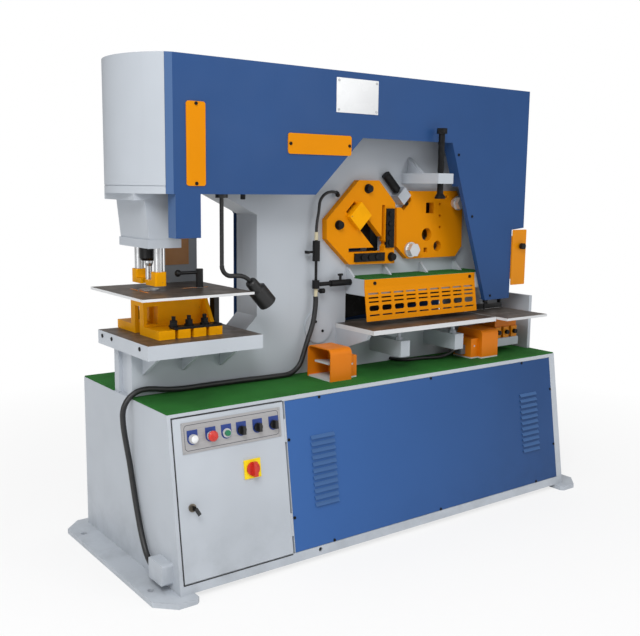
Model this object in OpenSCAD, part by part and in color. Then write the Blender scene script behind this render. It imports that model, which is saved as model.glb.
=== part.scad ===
// Hydraulic ironworker: a punching station at the left end, angle, section and plate shears in the
// middle and a notcher at the right end, on a cabinet base that holds the controls and the power unit.
// X runs along the machine, Y to its back and Z up. The origin is the centre of the floor anchors.

/* [Base] */
// Length of the base cabinet
base_l = 2146; // [2080:1:2300]
// Depth of the base at its deck
base_d = 768; // [740:1:860]
// Height of the deck above the floor
base_h = 669; // [600:1:740]
// How far the front's foot stands before its top edge
base_lean = 97; // [60:1:120]
// Wall of the welded cabinet
base_wall = 8; // [5:0.5:12]
// Thickness of the foot plates
foot_t = 20; // [14:1:28]
// Length of a foot plate, front to back
foot_l = 954; // [920:1:1000]
// Reach of a foot plate beyond the cabinet's end
foot_out = 102; // [90:1:130]
// Reach of a foot plate under the cabinet
foot_in = 56; // [40:1:90]
// Chamfer of a foot plate's outer corners
foot_chamfer = 70; // [40:1:90]
// Front to back spacing of the floor anchors
anchor_span = 640; // [560:1:700]
// Distance of an anchor from the cabinet's end
anchor_out = 64; // [50:1:80]
// Radius of an anchor hole
anchor_r = 13; // [9:0.5:16]
// Thickness of the rubber mats
mat_t = 5; // [3:0.5:8]

/* [Cabinet front] */
// Height of the bottom rail, measured up the sloping front
rail_low = 57; // [40:1:80]
// Height of the top rail, measured down the sloping front
rail_top = 16; // [10:1:30]
// Width of the control cabinet's door
door_w = 476; // [440:1:500]
// Edge of the door, from the cabinet's left end
door_x = 20; // [14:1:40]
// Sheet of the door and the front panel
sheet_t = 3; // [2:0.5:4]
// Depth of the door's folded edge
door_fold = 20; // [14:1:30]
// Gap around the door and the panel
sheet_gap = 2; // [1:0.5:4]
// Radius of the door's hinge barrels
barrel_r = 4; // [3.5:0.5:6]
// Radius of the door's hinge pins
pin_r = 2; // [1.5:0.1:2.5]
// Length of one hinge barrel
barrel_l = 30; // [20:1:40]
// Strip of the cabinet beside the panel's right edge
panel_margin = 40; // [25:1:60]
// Louvres in each column
louvre_count = 11; // [6:1:11]
// Width of a louvre
louvre_w = 118; // [80:1:130]
// Pitch of the louvres
louvre_pitch = 27; // [24:0.5:30]
// Height of the control plate
plate_h = 114; // [100:1:130]
// Radius of the button bezels
bezel_r = 17; // [14:0.5:20]
// Side of the isolator's plate
isolator_w = 72; // [66:1:80]

/* [Main frame] */
// Thickness of each side plate of the main frame
plate_t = 40; // [30:1:44]
// Gap between the two side plates
plate_gap = 80; // [76:1:90]
// Depth of the punch throat, from the cabinet's left end
throat_x = 574; // [540:1:620]
// Underside of the upper arm
throat_top = 1450; // [1430:1:1470]
// Top of the lower arm
arm_top = 849; // [835:1:855]
// Reach and height of the throat's upper chamfer
chamfer_up = [175, 85];
// Leg of the throat's lower chamfer
chamfer_low = 95; // [60:1:130]
// Top of the machine
machine_top = 1950; // [1900:1:2000]
// Welded web between the side plates
web_t = 20; // [12:1:30]
// Distance of the side plates' right end from the cabinet's right end
end_inset = 20; // [14:1:36]
// Height of the right end plate's top edge
end_plate_top = 945; // [920:1:980]

/* [Covers] */
// Distance of the side covers from the machine's mid plane
cover_half = 246; // [236:1:270]
// Sheet of the covers
cover_t = 4; // [3:0.5:6]
// Depth of the covers' folded edges
cover_fold = 60; // [40:1:70]
// Left edge of the beam cover
cover_x = 111; // [105:1:116]
// Seam between the beam cover and the column cover
seam_x = 1521; // [1480:1:1560]
// Right edge of the column cover
cover_right = 2036; // [2010:1:2060]
// Underside of the beam cover over the shears
cover_step = 1686; // [1660:1:1700]
// Radius of the rolled end cap
cap_r = 313; // [300:1:340]
// Width of the strip bent in along the covers' left edges
bend_w = 27; // [20:1:34]
// How far that strip is bent in
bend_in = 10; // [6:1:14]
// Depth of the column cover's fold beside the shears
edge_fold = 22; // [16:1:24]
// Set-back of the rear cover from the throat
rear_back = 84; // [40:1:110]
// Wall of the end cap
cap_wall = 5; // [3:0.5:8]
// Thickness of the cylinder's nose plate
nose_t = 30; // [20:1:40]

/* [Punch] */
// Punch axis, from the cabinet's left end
punch_x = 125; // [118:1:135]
// Underside of the ram guide
guide_low = 1245; // [1225:1:1265]
// Radius of the ram
ram_r = 38; // [30:0.5:42]
// Radius of the ram's piston
piston_r = 70; // [60:1:80]
// Ram stroke
ram_stroke = 66; // [60:1:66]
// Running clearance of the rams and pins
fit = 0.05; // [0.02:0.01:0.1]
// Radius of the punch
punch_r = 13; // [8:0.5:14]
// Tip of the punch at rest
punch_tip = 1106; // [1103:1:1110]
// Radius of the die
die_r = 40; // [32:0.5:44]
// Distance of the stripper columns from the punch axis
column_span = 85; // [80:1:88]
// Radius of a stripper column
column_r = 18; // [14:0.5:20]
// Underside of the stripper feet
stripper_low = 1098; // [1090:1:1100]
// Top of the lower table
table_top = 904; // [895:1:910]
// Top of the upper table
work_top = 1075; // [1070:1:1080]
// Thickness of the upper table
work_t = 10; // [6:1:14]
// Half depth of the die holder's base flange
flange_half = 187; // [170:1:200]
// Half depth of the die holder's body
holder_half = 57; // [50:1:64]

/* [Shears] */
// Pivot of the shear beam, from the cabinet's left end
pivot_x = 895; // [880:1:910]
// Height of the pivot
pivot_z = 874; // [866:1:878]
// Radius of the pivot pin
pivot_r = 55; // [45:1:60]
// Opening angle of the shear beam at rest
open_deg = 4.8; // [4.6:0.1:5.2]
// Side clearance of the shear beam in the frame
beam_clear = 2; // [1:0.5:3]
// Top of the plate shear's table
shear_top = 880; // [878:1:886]
// Left end of the plate shear's slot
slot_x = 1046; // [1040:1:1060]
// Length of the plate shear's slot
slot_l = 749; // [700:1:760]
// Upper edge of the plate shear's slot
slot_top = 1010; // [1000:1:1016]
// Height of the plate shear's blades
blade_h = 60; // [50:1:64]
// Thickness of the plate shear's blades
blade_t = 28; // [22:1:30]
// Thickness of the angle shear's front plate
angle_t = 34; // [28:1:40]
// Inner corner of the angle shear's slots
angle_corner = [1240, 1196];
// Width of the angle shear's slots
angle_slot = 18; // [12:1:20]
// Length of each of the angle shear's slots
angle_leg = 208; // [180:1:210]
// Width of the diagonal guide channel
channel_w = 66; // [56:1:70]
// Sliding clearance of the guide block
slide_clear = 0.4; // [0.2:0.1:0.8]
// Thickness of the section shear's front plate
section_t = 30; // [24:1:34]
// Radius of the large round section hole
round_a_r = 31; // [26:0.5:34]
// Radius of the small round section hole
round_b_r = 25; // [20:0.5:28]
// Side of the square section hole
square_a = 50; // [40:1:54]
// Axis of the shear ram, from the cabinet's left end
shear_ram_x = 1855; // [1845:1:1865]
// Radius of the shear ram
shear_ram_r = 34; // [28:0.5:36]
// Radius of the hold-down screw
screw_r = 14; // [10:0.5:16]
// Depth of the guard's carrier box
box_depth = 135; // [110:1:150]
// Top of the guard's carrier box
box_top = 1083; // [1075:1:1095]
// Thickness of the shear table
shear_table_t = 20; // [14:1:24]

/* [Notcher] */
// Left edge of the notching punch, from the cabinet's left end
notch_x = 1965; // [1960:1:1975]
// Width of the notching punch
notch_w = 80; // [60:1:82]
// Die clearance around the notching punch
notch_clear = 8; // [7:1:10]
// Thickness of the notch table
notch_table_t = 12; // [8:1:16]

/* [Pedals] */
// Length of a pedal guard
pedal_l = 112; // [100:1:130]
// Width of a pedal guard
pedal_w = 164; // [140:1:180]
// Height of a pedal guard
pedal_h = 137; // [120:1:150]
// Length of a pedal's tail, which carries the tread's pin
tail_l = 48; // [44:1:56]
// Wall of a pedal guard
pedal_wall = 5; // [4:0.5:7]

/* [Hidden] */
$fn = 96;

paint = "#b9bec4";
blue = "#3b5b92";
yellow = "#e89810";
green = "#2d6932";
black = "#1c1c1e";
steel = "#a8abb0";

// Sloping front: its angle and the length of its slope
lean_a = atan(base_lean / base_h);
slope_l = base_h / cos(lean_a);
front_foot = -base_d / 2 - base_lean;
// Places above the deck are measured with the deck at this height, and rise with it
deck_z = 669;
mat_top = deck_z + mat_t;
frame_half = plate_gap / 2 + plate_t;
face = -frame_half;
beam_half = plate_gap / 2 - beam_clear;
frame_top = machine_top - cover_t;
arm_x = 8;
frame_right = base_l - end_inset;
nose_x = punch_x + 110;
slot_right = slot_x + slot_l;
door_top = slope_l - rail_top;
hinge_x = door_x + door_w + barrel_r;
jamb_x = hinge_x + barrel_r + 0.5;
panel_x = jamb_x + 3;
panel_w = base_l - panel_margin - panel_x;
hinge_places = [rail_low + 70, door_top - 70 - 3 * barrel_l];
anchor_x = base_l / 2 + anchor_out;
cable_r = 11;
hose_r = 6.5;
button_v = slope_l - 98;
button_x = [for (f = [0.155, 0.313, 0.454, 0.59, 0.742, 0.895]) door_x + f * door_w];
isolator_at = [door_x + 0.666 * door_w, button_v - 153];
lock_at = [door_x + 52, 0.487 * slope_l];
tread_from = [797, 1827];
pedal_y = [-302, -296];

// Places in the machine: X from the cabinet's left end, Y from the mid plane, Z from the floor
module placed() translate([-base_l / 2, base_lean / 2, 0]) children();
// Places above the deck
module on_deck() translate([0, 0, base_h - deck_z]) placed() children();
// Places on the sloping front: X along it, Y up the slope, Z outward
module on_front() translate([0, front_foot, 0]) rotate([90 - lean_a, 0, 0]) children();
module along_x(x0, x1) translate([x0, 0, 0]) rotate([90, 0, 90]) linear_extrude(x1 - x0) children();
module along_y(y0, y1) translate([0, y1, 0]) rotate([90, 0, 0]) linear_extrude(y1 - y0) children();
module slab(x, y, z) translate([x[0], y[0], z[0]]) cube([x[1] - x[0], y[1] - y[0], z[1] - z[0]]);
module rod_y(at, y0, y1, r) translate([at[0], y1, at[1]]) rotate([90, 0, 0]) cylinder(r = r, h = y1 - y0);
module rod_z(at, z0, z1, r) translate([at[0], at[1], z0]) cylinder(r = r, h = z1 - z0);
module rod_x(at, x0, x1, r) translate([x0, at[0], at[1]]) rotate([0, 90, 0]) cylinder(r = r, h = x1 - x0);
module both_sides() {
    children();
    mirror([0, 1, 0]) children();
}
module round_rect(x, y, r) {
    translate([x[0] + r, y[0]]) square([x[1] - x[0] - 2 * r, y[1] - y[0]]);
    translate([x[0], y[0] + r]) square([x[1] - x[0], y[1] - y[0] - 2 * r]);
    for (px = [x[0] + r, x[1] - r], py = [y[0] + r, y[1] - r]) translate([px, py]) circle(r);
}
// Hexagon head with a round washer, its axis along +Z from the seat
module bolt_head(washer_r, flats, h) {
    cylinder(r = washer_r, h = h * 0.25);
    cylinder(r = flats / sqrt(3), h = h, $fn = 6);
}
// Tube swept along points, with a ring of eight corners at each point
function tube_dir(p, i) = let (a = p[max(i - 1, 0)], b = p[min(i + 1, len(p) - 1)]) (b - a) / norm(b - a);
function tube_side(d) = let (s = cross(d, abs(d[1]) > 0.9 ? [1, 0, 0] : [0, 1, 0])) s / norm(s);
module tube(p, r, sides = 8) {
    rings = [for (i = [0:len(p) - 1]) let (d = tube_dir(p, i), s = tube_side(d), t = cross(d, s))
        for (k = [0:sides - 1]) p[i] + r * (cos(360 * k / sides) * s + sin(360 * k / sides) * t)];
    walls = [for (i = [0:len(p) - 2], k = [0:sides - 1]) let (m = (k + 1) % sides)
        [i * sides + k, (i + 1) * sides + k, (i + 1) * sides + m, i * sides + m]];
    first = [for (k = [0:sides - 1]) k];
    last = [for (k = [sides - 1:-1:0]) (len(p) - 1) * sides + k];
    polyhedron(rings, concat(walls, [first], [last]), convexity = 6);
}

// Base
function front_y(z) = -base_d / 2 - base_lean * (1 - z / base_h);
module base_profile(low, high, wall) polygon([
    [front_y(low) + wall, low], [base_d / 2 - wall, low],
    [base_d / 2 - wall, high], [front_y(high) + wall, high]]);
module foot_outline() polygon([
    [-foot_out, -foot_l / 2 + foot_chamfer], [-foot_out + foot_chamfer, -foot_l / 2],
    [foot_in - 14, -foot_l / 2], [foot_in, -foot_l / 2 + 14],
    [foot_in, foot_l / 2 - 14], [foot_in - 14, foot_l / 2],
    [-foot_out + foot_chamfer, foot_l / 2], [-foot_out, foot_l / 2 - foot_chamfer]]);
module foot_plates() color(paint) for (side = [0, 1]) mirror([side, 0, 0]) difference() {
    translate([-base_l / 2, 0, 0]) linear_extrude(foot_t) foot_outline();
    for (y = [-1, 1]) rod_z([-anchor_x, y * anchor_span / 2], -1, foot_t + 1, anchor_r);
}
module base_cabinet() color(paint) placed() {
    difference() {
        along_x(0, base_l) base_profile(foot_t, base_h, 0);
        along_x(base_wall, jamb_x) base_profile(foot_t + base_wall, base_h - base_wall, base_wall);
        along_x(jamb_x + base_wall, base_l - base_wall)
            base_profile(foot_t + base_wall, base_h - base_wall, base_wall);
        on_front() {
            translate([door_x - sheet_gap, rail_low, -3 * base_wall])
                cube([jamb_x - door_x + sheet_gap, door_top - rail_low, 4 * base_wall]);
            translate([panel_x - sheet_gap / 2, rail_low, -sheet_t])
                cube([panel_w + sheet_gap, door_top - rail_low, base_wall]);
            translate([panel_x + 24, rail_low + 24, -3 * base_wall])
                cube([panel_w - 48, door_top - rail_low - 48, 4 * base_wall]);
        }
        rod_y([628, foot_t + 22], front_foot - 1, front_foot + 60, 9);
    }
    on_front() for (v = hinge_places) {
        translate([hinge_x, v, 0]) rotate([-90, 0, 0]) {
            cylinder(r = barrel_r, h = barrel_l);
            cylinder(r = pin_r, h = 3 * barrel_l);
        }
        translate([hinge_x, v, -barrel_r]) cube([barrel_r + 2, barrel_l, barrel_r]);
    }
    gland_box();
}
// Cable entry on the cabinet's left end, with its mouth towards the back
gland_y = [-420, -308];
gland_mouth = [-22, 75];
module gland_box() difference() {
    along_x(-44, 0) round_rect(gland_y, [45, 125], 10);
    translate([gland_mouth[0], gland_y[1] + 1, gland_mouth[1]]) rotate([90, 0, 0])
        cylinder(r = cable_r + 0.4, h = 21);
}
module front_panel() color(blue) placed() on_front() {
    lift = (door_top + rail_low - (louvre_count - 1) * louvre_pitch) / 2;
    louvre_x = [110, panel_w - louvre_w - 118];
    translate([panel_x, rail_low + sheet_gap, -sheet_t]) {
        difference() {
            cube([panel_w, door_top - rail_low - 2 * sheet_gap, sheet_t]);
            for (x = louvre_x, i = [0:louvre_count - 1])
                translate([x + 4, lift - rail_low - 6 + i * louvre_pitch, -1]) cube([louvre_w - 8, 8, sheet_t + 2]);
        }
        for (x = louvre_x, i = [0:louvre_count - 1])
            translate([x, lift - rail_low + 2 + i * louvre_pitch, sheet_t]) louvre_hood();
    }
}
// Pressed louvre: a sloping hood over its slot, open at the bottom edge
module louvre_hood() along_x(0, louvre_w) polygon([[6, 0], [6, 1.5], [-8, 9], [-8, 7.3], [2, 0]]);
module rubber_mats() color(green) on_deck() {
    gap = 2;
    difference() {
        slab([gap, base_l - gap], [-base_d / 2 + gap, base_d / 2 - gap], [deck_z, mat_top]);
        slab([-1, base_l + 1], [face - gap, frame_half + gap], [deck_z - 1, mat_top + 1]);
        slab([frame_right - gap, base_l + 1], [-end_half - gap, end_half + gap], [deck_z - 1, mat_top + 1]);
    }
    slab([slot_x, slot_right], [face - box_depth + cover_t, face - 60], [box_top, box_top + mat_t]);
    difference() {
        slab([slot_x, slot_right], [face - 60, face], [box_top, box_top + mat_t]);
        for (x = gusset_x) slab([x - 8, x + 8], [face - 61, face + 1], [box_top - 1, box_top + mat_t + 1]);
    }
}
// Back plate of the control cabinet with its switchgear
module electric_panel() color(paint) placed() {
    back = base_d / 2 - base_wall;
    x = [door_x + 40, door_x + door_w - 36];
    z = [90, base_h - 69];
    rows = [for (f = [0.2, 0.49, 0.79]) z[0] + f * (z[1] - z[0])];
    five = (x[1] - x[0] - 50) / 5;
    four = (x[1] - x[0] - 50) / 4;
    slab(x, [back - 60, back - 57], z);
    for (k = [x[0] + 30, x[1] - 50]) slab([k, k + 20], [back - 57, back], [z[0] + 30, z[1] - 30]);
    for (k = rows) slab([x[0] + 20, x[1] - 20], [back - 68, back - 60], [k - 17, k + 17]);
    for (i = [0:4]) slab([x[0] + 30 + i * five, x[0] + 18 + (i + 1) * five], [back - 140, back - 68], [rows[2] - 42, rows[2] + 43]);
    for (i = [0:3]) slab([x[0] + 30 + i * four, x[0] + 16 + (i + 1) * four], [back - 150, back - 68], [rows[1] - 45, rows[1] + 45]);
    slab([x[0] + 35, x[1] - 35], [back - 120, back - 68], [rows[0] - 25, rows[0] + 25]);
}
// Oil tank with its motor and pump, in the right part of the base
module power_unit() color(steel) placed() {
    low = foot_t + base_wall;
    tank = [jamb_x + 120, jamb_x + 820];
    tank_top = base_h - 221;
    slab(tank, [-220, 260], [low, tank_top]);
    rod_z([tank[0] + 110, -60], tank_top, tank_top + 40, 45);
    rod_x([20, tank_top + 105], tank[0] + 220, tank[0] + 520, 92);
    slab([tank[0] + 250, tank[0] + 490], [-60, 100], [tank_top, tank_top + 30]);
    rod_x([20, tank_top + 105], tank[0] + 520, tank[0] + 640, 50);
    slab([tank[1] + 200, tank[1] + 420], [-110, 130], [low, low + 180]);
}

// Main frame
end_half = 229;
// Root gap of the web at the back plate
web_gap = 0.3;
shelf_z = 840;
frame_rise_x = 1935;
cylinder_seat = 1500;
seat_x = 1780;
module frame_outline() polygon([
    [arm_x, deck_z], [arm_x, arm_top], [throat_x - chamfer_low, arm_top], [throat_x, arm_top + chamfer_low],
    [throat_x, throat_top - chamfer_up[1]], [throat_x - chamfer_up[0], throat_top], [nose_x, throat_top],
    [nose_x, frame_top], [seat_x, frame_top], [seat_x, cylinder_seat], [frame_rise_x, cylinder_seat],
    [frame_rise_x, shelf_z], [frame_right, shelf_z], [frame_right, deck_z]]);
angle_window = [[angle_corner[0] - angle_leg - 17, angle_corner[0] + 22], [angle_corner[1] - 11, 1432]];
section_window = [[1470, 1625], [1172, 1425]];
module window(w) translate([w[0][0], w[1][0]]) square([w[0][1] - w[0][0], w[1][1] - w[1][0]]);
module side_plate(slot_low) difference() {
    frame_outline();
    window(angle_window);
    window(section_window);
    window([[slot_x, slot_right], [slot_low, slot_top]]);
    translate([pivot_x, pivot_z]) circle(pivot_r);
}
// Bar that carries the hold-down screw before the section shear, with its rib
bar_x = [1365, 1457];
bar_z = [1502, 1547];
bar_end = -322;
screw_at = [1409, -290];
hose_fitting = [975, 1448];
module frame_front_plate() color(paint) on_deck() {
    along_y(face, face + plate_t) side_plate(shear_top - blade_h);
    difference() {
        slab(bar_x, [bar_end, face], bar_z);
        rod_z(screw_at, bar_z[0] - 1, bar_z[1] + 1, screw_r + fit);
    }
    along_x(screw_at[0] - 9, screw_at[0] + 9)
        polygon([[face, bar_z[1]], [face - 100, bar_z[1]], [face, bar_z[1] + 74]]);
    rod_y(hose_fitting, face - 20, face, 13);
}
// Web that closes the gap between the side plates along the throat and the arms
module throat_web() {
    inner = face + plate_t;
    along_y(inner, -inner - web_gap) {
        difference() {
            polygon([[throat_x - chamfer_low, arm_top - web_t], [throat_x - chamfer_low, arm_top],
                [throat_x, arm_top + chamfer_low], [throat_x, throat_top - chamfer_up[1]],
                [throat_x - chamfer_up[0], throat_top], [throat_x - chamfer_up[0], throat_top + web_t],
                [throat_x + web_t, throat_top + web_t], [throat_x + web_t, arm_top - web_t]]);
            polygon([[throat_x - chamfer_low, arm_top - web_t - 1], [throat_x - chamfer_low, arm_top - web_t],
                [throat_x, arm_top + chamfer_low - web_t], [throat_x + web_t + 1, arm_top + chamfer_low - web_t],
                [throat_x + web_t + 1, arm_top - web_t - 1]]);
            polygon([[throat_x - chamfer_up[0] - 1, throat_top + web_t], [throat_x - chamfer_up[0], throat_top + web_t],
                [throat_x, throat_top - chamfer_up[1] + web_t], [throat_x + web_t + 1, throat_top - chamfer_up[1] + web_t],
                [throat_x + web_t + 1, throat_top + web_t + 1], [throat_x - chamfer_up[0] - 1, throat_top + web_t + 1]]);
        }
        translate([nose_x, throat_top]) square([throat_x - chamfer_up[0] - nose_x, web_t]);
        translate([arm_x + 16, deck_z]) square([web_t, arm_top - deck_z]);
        translate([nose_x, frame_top - web_t]) square([seat_x - nose_x, web_t]);
    }
}
module frame_back_plate() color(paint) on_deck() {
    along_y(-face - plate_t, -face) side_plate(shear_top - blade_h - 60);
    throat_web();
    slab([frame_right, frame_right + web_t], [-end_half, end_half], [deck_z, end_plate_top]);
}

// Covers
column_foot = [1778, 1950];
column_low = 947;
column_step = 1292;
skirt_x = [118, 222];
skirt_low = 1288;
cover_rise = [752, 994];
module beam_outline() polygon([
    [cover_x, throat_top], [cover_rise[0], throat_top], [cover_rise[1], cover_step], [seam_x, cover_step],
    [seam_x, machine_top], [cover_x, machine_top]]);
module column_outline() polygon([
    [seam_x, machine_top], [seam_x, cover_step], [column_foot[0], column_low], [column_foot[1], column_low],
    [column_foot[1], column_step - 8], [cover_right, column_step], [cover_right, machine_top]]);
module rear_outline() polygon([
    [cover_x, throat_top], [skirt_x[0], throat_top], [skirt_x[0], skirt_low], [skirt_x[1], skirt_low],
    [skirt_x[1], throat_top], [throat_x + rear_back - 66, throat_top], [throat_x + rear_back, throat_top - 90],
    [throat_x + rear_back, mat_top], [column_foot[1], mat_top], [column_foot[1], column_step - 8],
    [cover_right, column_step], [cover_right, machine_top], [cover_x, machine_top]]);
// Folded sheet: an outline with its edges turned in towards the frame
module folded_cover() {
    along_y(-cover_half, -cover_half + cover_t) children();
    along_y(-cover_half, -cover_half + cover_fold) difference() {
        children();
        offset(delta = -cover_t) children();
    }
}
// Strip bent in along a cover's left edge, up to the end cap
module bent_strip() translate([0, 0, throat_top]) linear_extrude(machine_top - throat_top) polygon([
    [cover_x, -cover_half], [cover_x, -cover_half + cover_t], [cap_x + 1, -cap_half + cover_t], [cap_x + 1, -cap_half]]);
module skirt() difference() {
    slab(skirt_x, [-cover_half, -cover_half + cover_fold], [skirt_low, throat_top]);
    slab([skirt_x[0] + cover_t, skirt_x[1] - cover_t], [-cover_half + cover_t, 0], [skirt_low - 1, throat_top]);
}
module beam_front_cover() color(blue) on_deck() {
    along_y(-cover_half, -cover_half + cover_t) beam_outline();
    bent_strip();
    translate([0, 0, frame_top]) linear_extrude(cover_t) polygon([[cap_x + 1, -cap_half], [cover_x, -cover_half],
        [seam_x, -cover_half], [seam_x, -fold_y], [cap_x + 1, -fold_y]]);
    slab([cover_x, cover_rise[0]], [-cover_half, -fold_y], [throat_top, throat_top + cover_t]);
    skirt();
}
module column_front_cover() color(blue) on_deck() difference() {
    folded_cover() column_outline();
    slab([seam_x - 1, column_foot[0] + 22], [-cover_half + edge_fold, face], [column_low - 1, fold_notch]);
}
// Back sheet with the windows of the shears, the top and the right end
module rear_cover() color(blue) on_deck() {
    along_y(cover_half - cover_t, cover_half) difference() {
        rear_outline();
        window(angle_window);
        window(section_window);
        window([[slot_x, slot_right], [shear_top, slot_top]]);
    }
    mirror([0, 1, 0]) bent_strip();
    translate([0, 0, frame_top]) linear_extrude(cover_t) polygon([[cap_x + 1, -fold_y], [cover_right, -fold_y],
        [cover_right, cover_half], [cover_x, cover_half], [cap_x + 1, cap_half]]);
    slab([cover_right - cover_t, cover_right], [-fold_y, cover_half], [column_step + 60, machine_top]);
}
fold_y = cover_half - cover_fold;
fold_notch = 1490;
cap_x = cover_x - bend_w;
cap_half = cover_half - bend_in;
cap_c = cap_x + sqrt(cap_r * cap_r - cap_half * cap_half);
cap_in = sqrt(pow(cap_r - cap_wall, 2) - pow(cap_c - cap_x, 2));
module cap_plan(r) intersection() {
    translate([cap_c, 0]) circle(r);
    translate([cap_c - r - 1, -cap_half]) square([cap_x - cap_c + r + 1, 2 * cap_half]);
}
module cylinder_cap() color(paint) on_deck() translate([0, 0, throat_top + nose_t]) difference() {
    high = machine_top - throat_top - nose_t;
    linear_extrude(high) cap_plan(cap_r);
    translate([0, 0, -1]) linear_extrude(high - cap_wall + 1) union() {
        cap_plan(cap_r - cap_wall);
        translate([cap_x - 1, -cap_in]) square([2, 2 * cap_in]);
    }
}

// Punching station
barrel_half = 110;
punch_barrel_top = 1820;
piston_low = 1600;
piston_h = 60;
module punch_cylinder() color(paint) on_deck() difference() {
    union() {
        translate([0, 0, throat_top]) linear_extrude(nose_t - 3) cap_plan(cap_r);
        translate([0, 0, throat_top]) linear_extrude(nose_t) cap_plan(cap_r - 3);
        slab([cap_x, nose_x], [face, -face], [throat_top, throat_top + nose_t]);
        slab([punch_x - barrel_half, nose_x], [-barrel_half, barrel_half], [throat_top + nose_t, punch_barrel_top]);
    }
    rod_z([punch_x, 0], throat_top - 1, throat_top + nose_t + 31, ram_r + fit);
    rod_z([punch_x, 0], piston_low - ram_stroke - 24, punch_barrel_top - 40, piston_r + fit);
}
module cylinder_housing() color(paint) on_deck() difference() {
    flange_low = throat_top - 25;
    union() {
        slab([punch_x - 119, punch_x + 108], [-134, 134], [flange_low, throat_top]);
        along_y(-127, 127) polygon([[punch_x - 73, flange_low], [punch_x - 54, guide_low],
            [punch_x + 63, guide_low], [punch_x + 85, flange_low]]);
        slab([punch_x - 63, punch_x + 75], [-130, 130], [guide_low, guide_low + 33]);
    }
    rod_z([punch_x, 0], guide_low - 1, throat_top + 1, ram_r + fit);
}
nut_low = guide_low - 55;
module punch_ram() color(black) on_deck() {
    rod_z([punch_x, 0], guide_low - 3, piston_low + 1, ram_r);
    rod_z([punch_x, 0], piston_low, piston_low + piston_h, piston_r);
    translate([punch_x, 0, nut_low]) rotate_extrude() polygon([[0, 0], [ram_r - 10, 0], [ram_r - 2, 10],
        [ram_r - 2, guide_low - 3 - nut_low], [0, guide_low - 3 - nut_low]]);
}
module punch() color(steel) on_deck() translate([punch_x, 0, punch_tip]) rotate_extrude() polygon([
    [0, 0], [punch_r, 0], [punch_r, 62], [punch_r + 4, 74], [punch_r + 4, nut_low - punch_tip],
    [0, nut_low - punch_tip]]);
stripper_h = 54;
module stripper_columns() color(steel) on_deck() for (s = [-1, 1])
    rod_z([punch_x, s * column_span], stripper_low + stripper_h, guide_low, column_r);
module stripper_blocks() color(yellow) on_deck() both_sides() difference() {
    union() {
        translate([punch_x, -column_span, stripper_low]) linear_extrude(stripper_h) round_rect([-24, 24], [-22, 22], 8);
        slab([punch_x - 24, punch_x + 24], [-column_span + 12, -punch_r - 9], [stripper_low, stripper_low + 20]);
    }
    rod_z([punch_x, 0], stripper_low - 1, stripper_low + 23, punch_r + 14);
}
table_x = [-16, throat_x - chamfer_low - 1];
table_y = [-277, 179];
module punch_table() color(paint) on_deck() difference() {
    union() {
        slab(table_x, table_y, [arm_top, table_top]);
        for (x = [60, 230, 400]) along_x(x - 7, x + 7) {
            polygon([[face, arm_top], [face - 150, arm_top], [face, arm_top - 95]]);
            polygon([[-face, arm_top], [-face + 85, arm_top], [-face, arm_top - 95]]);
        }
    }
    rod_z([punch_x, 0], arm_top - 1, table_top + 1, 30);
}
work_x = [-33, 440];
work_y = [-274, 203];
post_at = [395, -40];
fence_x = 290;
lever_at = [332, -30];
module work_table() color(black) on_deck() {
    difference() {
        slab(work_x, work_y, [work_top - work_t, work_top]);
        rod_z([punch_x, 0], work_top - work_t - 1, work_top + 1, die_r + 6);
        slab([70, 80], [-100, 60], [work_top - work_t - 1, work_top + 1]);
        slab([256, 372], [-36, -24], [work_top - work_t - 1, work_top + 1]);
    }
    translate([post_at[0], post_at[1], table_top]) {
        cylinder(r = 22, h = work_top - work_t - table_top, $fn = 6);
        cylinder(r = 30, h = 12);
    }
    // Fence along the back edge, with its scale plate
    slab([fence_x, work_x[1]], [work_y[1] - 15, work_y[1] - 7], [work_top - 1, work_top + 255]);
    slab([fence_x, fence_x + 108], [work_y[1] - 21, work_y[1] - 15], [work_top + 74, work_top + 225]);
    // Locking lever with its ball
    rod_z(lever_at, work_top - 1, work_top + 75, 15);
    rod_x([lever_at[1], work_top + 61], lever_at[0] - 92, lever_at[0], 7);
    translate([lever_at[0] - 96, lever_at[1], work_top + 61]) sphere(14, $fn = 32);
}
flange_x = [punch_x - 53, punch_x + 221];
flange_top = table_top + 34;
flange_slots = [punch_x + 22, punch_x + 88, punch_x + 156];
holder_top = work_top - work_t;
module die_holder() color(yellow) on_deck() difference() {
    union() {
        difference() {
            slab(flange_x, [-flange_half, flange_half], [table_top, flange_top]);
            for (x = flange_slots, s = [-1, 1]) {
                slab([x - 7, x + 7], s > 0 ? [flange_half - 42, flange_half + 1] : [-flange_half - 1, -flange_half + 42],
                    [table_top - 1, flange_top + 1]);
                rod_z([x, s * (flange_half - 42)], table_top - 1, flange_top + 1, 7);
            }
        }
        slab(flange_x, [-holder_half, holder_half], [flange_top - 1, holder_top]);
        for (s = [-1, 1]) along_x(flange_x[1] - 16, flange_x[1])
            polygon([[s * holder_half, holder_top - 10], [s * holder_half, flange_top],
                [s * (holder_half + 70), flange_top]]);
    }
    slab([flange_x[0] - 1, punch_x + 25], [-21, 21], [table_top - 1, holder_top - 50]);
    slab([flange_x[0] + 16, flange_x[0] + 62], [-holder_half - 1, holder_half + 1], [flange_top + 8, holder_top - 50]);
    rod_z([punch_x, 0], table_top, holder_top + 1, 20);
    rod_z([punch_x, 0], holder_top - 22, holder_top + 1, die_r);
}
module punch_die() color(steel) on_deck() difference() {
    rod_z([punch_x, 0], holder_top - 22, work_top + 3, die_r);
    rod_z([punch_x, 0], holder_top - 23, work_top + 4, punch_r + 0.6);
}
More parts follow.
